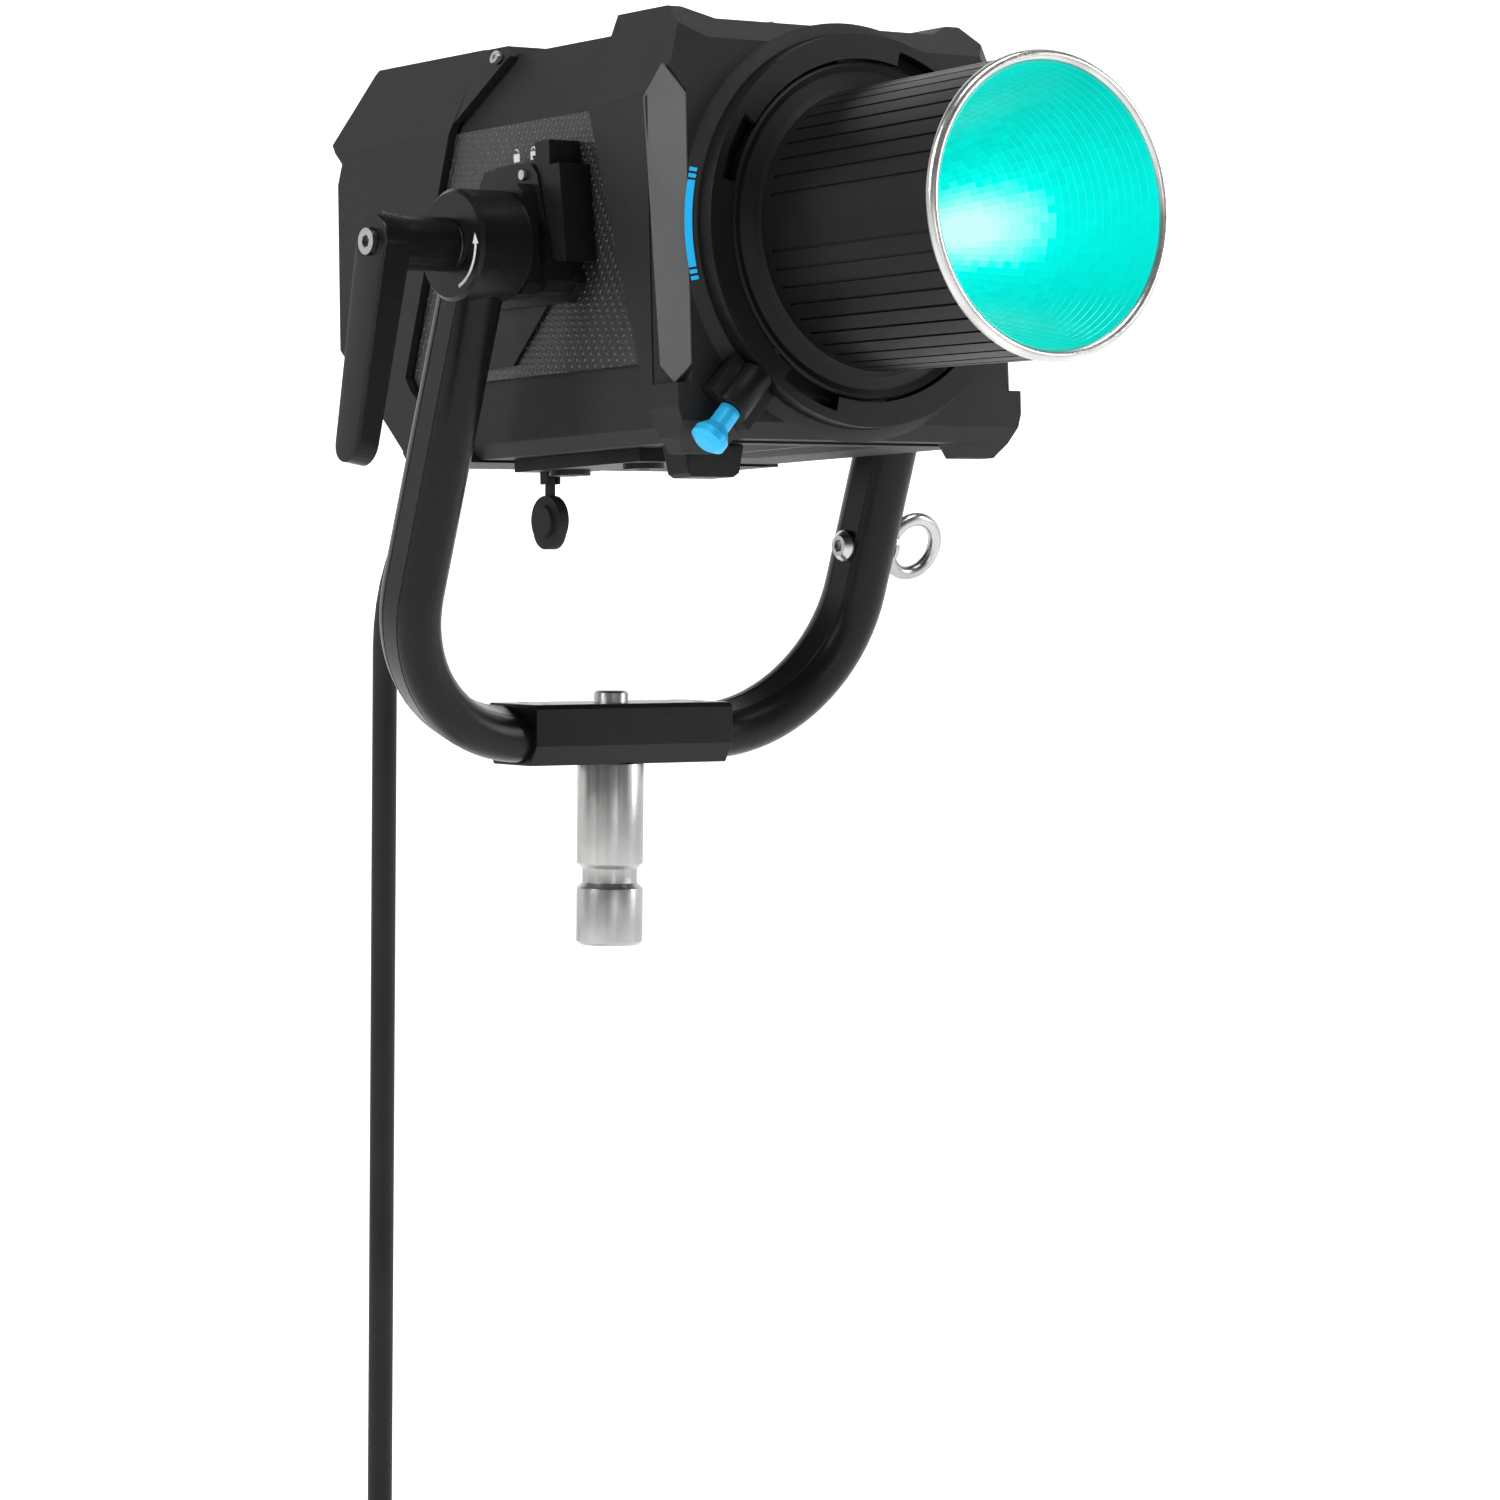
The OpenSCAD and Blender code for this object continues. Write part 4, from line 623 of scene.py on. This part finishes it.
def go_on(mesh, edges, move):
    fresh = bmesh.ops.extrude_edge_only(mesh, edges=edges)["geom"]
    bmesh.ops.translate(mesh, vec=move, verts=[g for g in fresh
                                               if isinstance(g, bmesh.types.BMVert)])
    return [g for g in fresh if isinstance(g, bmesh.types.BMEdge)]

def turn_corner(mesh, edges, centre, angle):
    corners = list({v for e in edges for v in e.verts})
    end = bmesh.ops.spin(mesh, geom=corners + edges, cent=centre, axis=(0, 1, 0),
                         dvec=(0, 0, 0), angle=angle, steps=20, use_merge=False)
    return [g for g in end["geom_last"] if isinstance(g, bmesh.types.BMEdge)]

leading = go_on(section, edge_loop, (0, 0, bend_r - arm_len))
leading = turn_corner(section, leading, (bend_r - arm_x, 0, bend_r), math.radians(-90))
leading = go_on(section, leading, (2 * (arm_x - bend_r), 0, 0))
leading = turn_corner(section, leading, (arm_x - bend_r, 0, bend_r), math.radians(-90))
leading = go_on(section, leading, (0, 0, arm_len - bend_r))
yoke_tube = keep("yoke_bent_tube", section, yoke, yoke_coat, "yoke", angle=24)
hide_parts("yoke_tube")

# %% [markdown]
# ## Printed marks
# A few marks are printed on the lamp: a blue bow beside the barrel that shows where the mount
# locks, a closed and an open padlock on the left tilt bracket, and an arrow on the yoke's hub
# that shows which way the clamp opens. A print is a thin sheet that floats about a tenth of a
# millimetre above its part.

# %% The blue bow on the mount
bow = bmesh.new()
for low, high in ((167.5, 191.5), (163.9, 165.0), (165.7, 166.8), (192.2, 193.3), (194.0, 195.1)):
    part = turned([(0.0836, 0.0959), (0.0813, 0.0979)], 24,
                  math.radians(high - low), math.radians(low))
    copy = bpy.data.meshes.new("bow part")
    part.to_mesh(copy)
    part.free()
    bow.from_mesh(copy)
    bpy.data.meshes.remove(copy)
bmesh.ops.scale(bow, vec=(1.003, 1.003, 1.0), verts=bow.verts)
bmesh.ops.translate(bow, vec=(0, 0, 0.00012), verts=bow.verts)
keep("mount_mark", bow, to_barrel, blue_print, "head")

# %% Padlocks and the arrow
def padlock(size, open_shackle):
    """A padlock in the XY plane, drawn as a filled body and a bent strip."""
    mesh = bmesh.new()
    block = bmesh.ops.create_grid(mesh, x_segments=1, y_segments=1, size=size * 0.5)["verts"]
    bmesh.ops.scale(mesh, vec=(1.0, 0.8, 1.0), verts=block)
    edge = [mesh.verts.new((size * r, size * 0.5, 0)) for r in (0.26, 0.38)]
    strip = [mesh.edges.new(edge)]
    bmesh.ops.spin(mesh, geom=edge + strip, cent=(0, size * 0.5, 0), axis=(0, 0, 1),
                   dvec=(0, 0, 0), angle=math.radians(130 if open_shackle else 180),
                   steps=12, use_merge=False)
    return mesh

marks = bmesh.new()
for size, is_open, y, z in ((0.0042, False, 0.004, 0.0385), (0.0042, True, 0.016, 0.0385)):
    icon = padlock(size, is_open)
    bmesh.ops.transform(icon, matrix=Matrix.Translation((-0.0858, y, z))
                        @ Matrix.Rotation(math.radians(-90), 4, "Z")
                        @ Matrix.Rotation(math.radians(90), 4, "X"), verts=icon.verts)
    copy = bpy.data.meshes.new("icon")
    icon.to_mesh(copy)
    icon.free()
    marks.from_mesh(copy)
    bpy.data.meshes.remove(copy)
keep("bracket_marks", marks, head, white_print, "head")

hub_face_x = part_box("yoke_hub_left")[0].x
arrow = turned([(0.0172, 0.0), (0.0186, 0.0)], 18, math.radians(70), math.radians(-160))
tip = [arrow.verts.new((r * math.cos(a), r * math.sin(a), 0)) for r, a in
       ((0.0158, math.radians(-90)), (0.0200, math.radians(-90)), (0.0179, math.radians(-76)))]
arrow.faces.new(tip)
keep("hub_arrow", arrow, Matrix.Translation((hub_face_x - 0.0001, pivot.y, pivot.z))
     @ Matrix.Rotation(math.radians(-90), 4, "Y"), white_print, "yoke")

# %% [markdown]
# ## The screen
# The control panel at the back has a small display. It shows plain bars of light, with no
# lettering, laid out like any lamp's brightness page.

# %% Draw the screen's page
cover_back, panel_inset, page_rise = 0.154, 0.0055, 0.0027
screen_y = cover_back - panel_inset + page_rise
page = bmesh.new()
for x, z, w, h in ((-0.038, 0.024, 0.014, 0.0022), (-0.016, 0.024, 0.022, 0.0022),
                   (-0.022, 0.012, 0.040, 0.006), (-0.030, 0.003, 0.024, 0.0018),
                   (-0.008, 0.003, 0.010, 0.0018)):
    bar = bmesh.ops.create_grid(page, x_segments=1, y_segments=1, size=0.5)["verts"]
    bmesh.ops.scale(page, vec=(w, h, 1), verts=bar)
    bmesh.ops.translate(page, vec=(x, z, 0), verts=bar)
keep("screen_page", page, head @ Matrix.Translation((0, screen_y, 0))
     @ Matrix.Rotation(math.radians(90), 4, "X"), screen_light, "head")

# %% [markdown]
# ## Floor, backdrop and light
# A pale sweep stands behind and under the lamp, so no horizon shows. Large, soft area lights act
# as softboxes. The left one and the top one make the light bands on the casing's upper edges,
# the right one draws the barrel's ribs, and a low, weak card in front lifts the yoke. The world
# is white near the horizon, so every side view has a plain backdrop, and dim above, so that the
# black coats stay black.

# %% Build the studio
sweep_mesh = bmesh.new()
line = [sweep_mesh.verts.new((-30, y, z)) for y, z in
        ((-30, -0.63), (4.6, -0.63), (5.4, -0.50), (6.0, 0.1), (6.2, 1.0), (6.2, 6.0))]
joined = [sweep_mesh.edges.new(pair) for pair in zip(line, line[1:])]
go_on(sweep_mesh, joined, (60, 0, 0))
bmesh.ops.rotate(sweep_mesh, cent=(0, 0, 0), verts=sweep_mesh.verts,
                 matrix=Matrix.Rotation(math.radians(-37), 3, "Z"))
sweep_data = bpy.data.meshes.new("studio_sweep")
sweep_mesh.to_mesh(sweep_data)
sweep_mesh.free()
sweep_data.shade_smooth()
sweep = bpy.data.objects.new("studio_sweep", sweep_data)
bpy.context.scene.collection.objects.link(sweep)
paper = grainy("paper sweep", (0.86, 0.86, 0.86), (0.90, 0.90, 0.90), 0.9, 300, 0.02)
paper_shader = paper.node_tree.nodes["Principled BSDF"]
paper_shader.inputs["Emission Color"].default_value = (1, 1, 1, 1)
paper_shader.inputs["Emission Strength"].default_value = 0.80
sweep_data.materials.append(paper)

world = bpy.data.worlds.new("studio")
world.use_nodes = True
sky = world.node_tree
sky.nodes["Background"].inputs["Color"].default_value = (1, 1, 1, 1)
direction = add(sky, "ShaderNodeSeparateXYZ")
sky.links.new(add(sky, "ShaderNodeTexCoord").outputs["Generated"], direction.inputs["Vector"])
fade = add(sky, "ShaderNodeMapRange")
for socket, value in {"From Min": 0.03, "From Max": 0.09, "To Min": 0.97, "To Max": 0.16}.items():
    fade.inputs[socket].default_value = value
sky.links.new(direction.outputs["Z"], fade.inputs["Value"])
sky.links.new(fade.outputs["Result"], sky.nodes["Background"].inputs["Strength"])
bpy.context.scene.world = world

def softbox(name, place, aim, size, power):
    data = bpy.data.lights.new(name, "AREA")
    data.shape, data.size, data.size_y, data.energy = "RECTANGLE", size[0], size[1], power
    box = bpy.data.objects.new(name, data)
    bpy.context.scene.collection.objects.link(box)
    box.matrix_world = Matrix.Translation(place) @ (
        Vector(aim) - Vector(place)).to_track_quat("-Z", "Y").to_matrix().to_4x4()

softbox("left softbox", (-2.4, 0.3, 1.5), (0, 0, 0.2), (0.6, 1.5), 52)
softbox("top softbox", (0.2, -0.9, 2.4), (0, -0.1, 0.25), (1.4, 0.9), 38)
softbox("right softbox", (2.2, -1.8, 0.9), (0, -0.1, 0.2), (0.4, 1.5), 34)
softbox("front card", (-0.9, -2.8, 0.1), (0, -0.1, 0.1), (0.8, 0.4), 5)
print("lights:", len(bpy.data.lights))
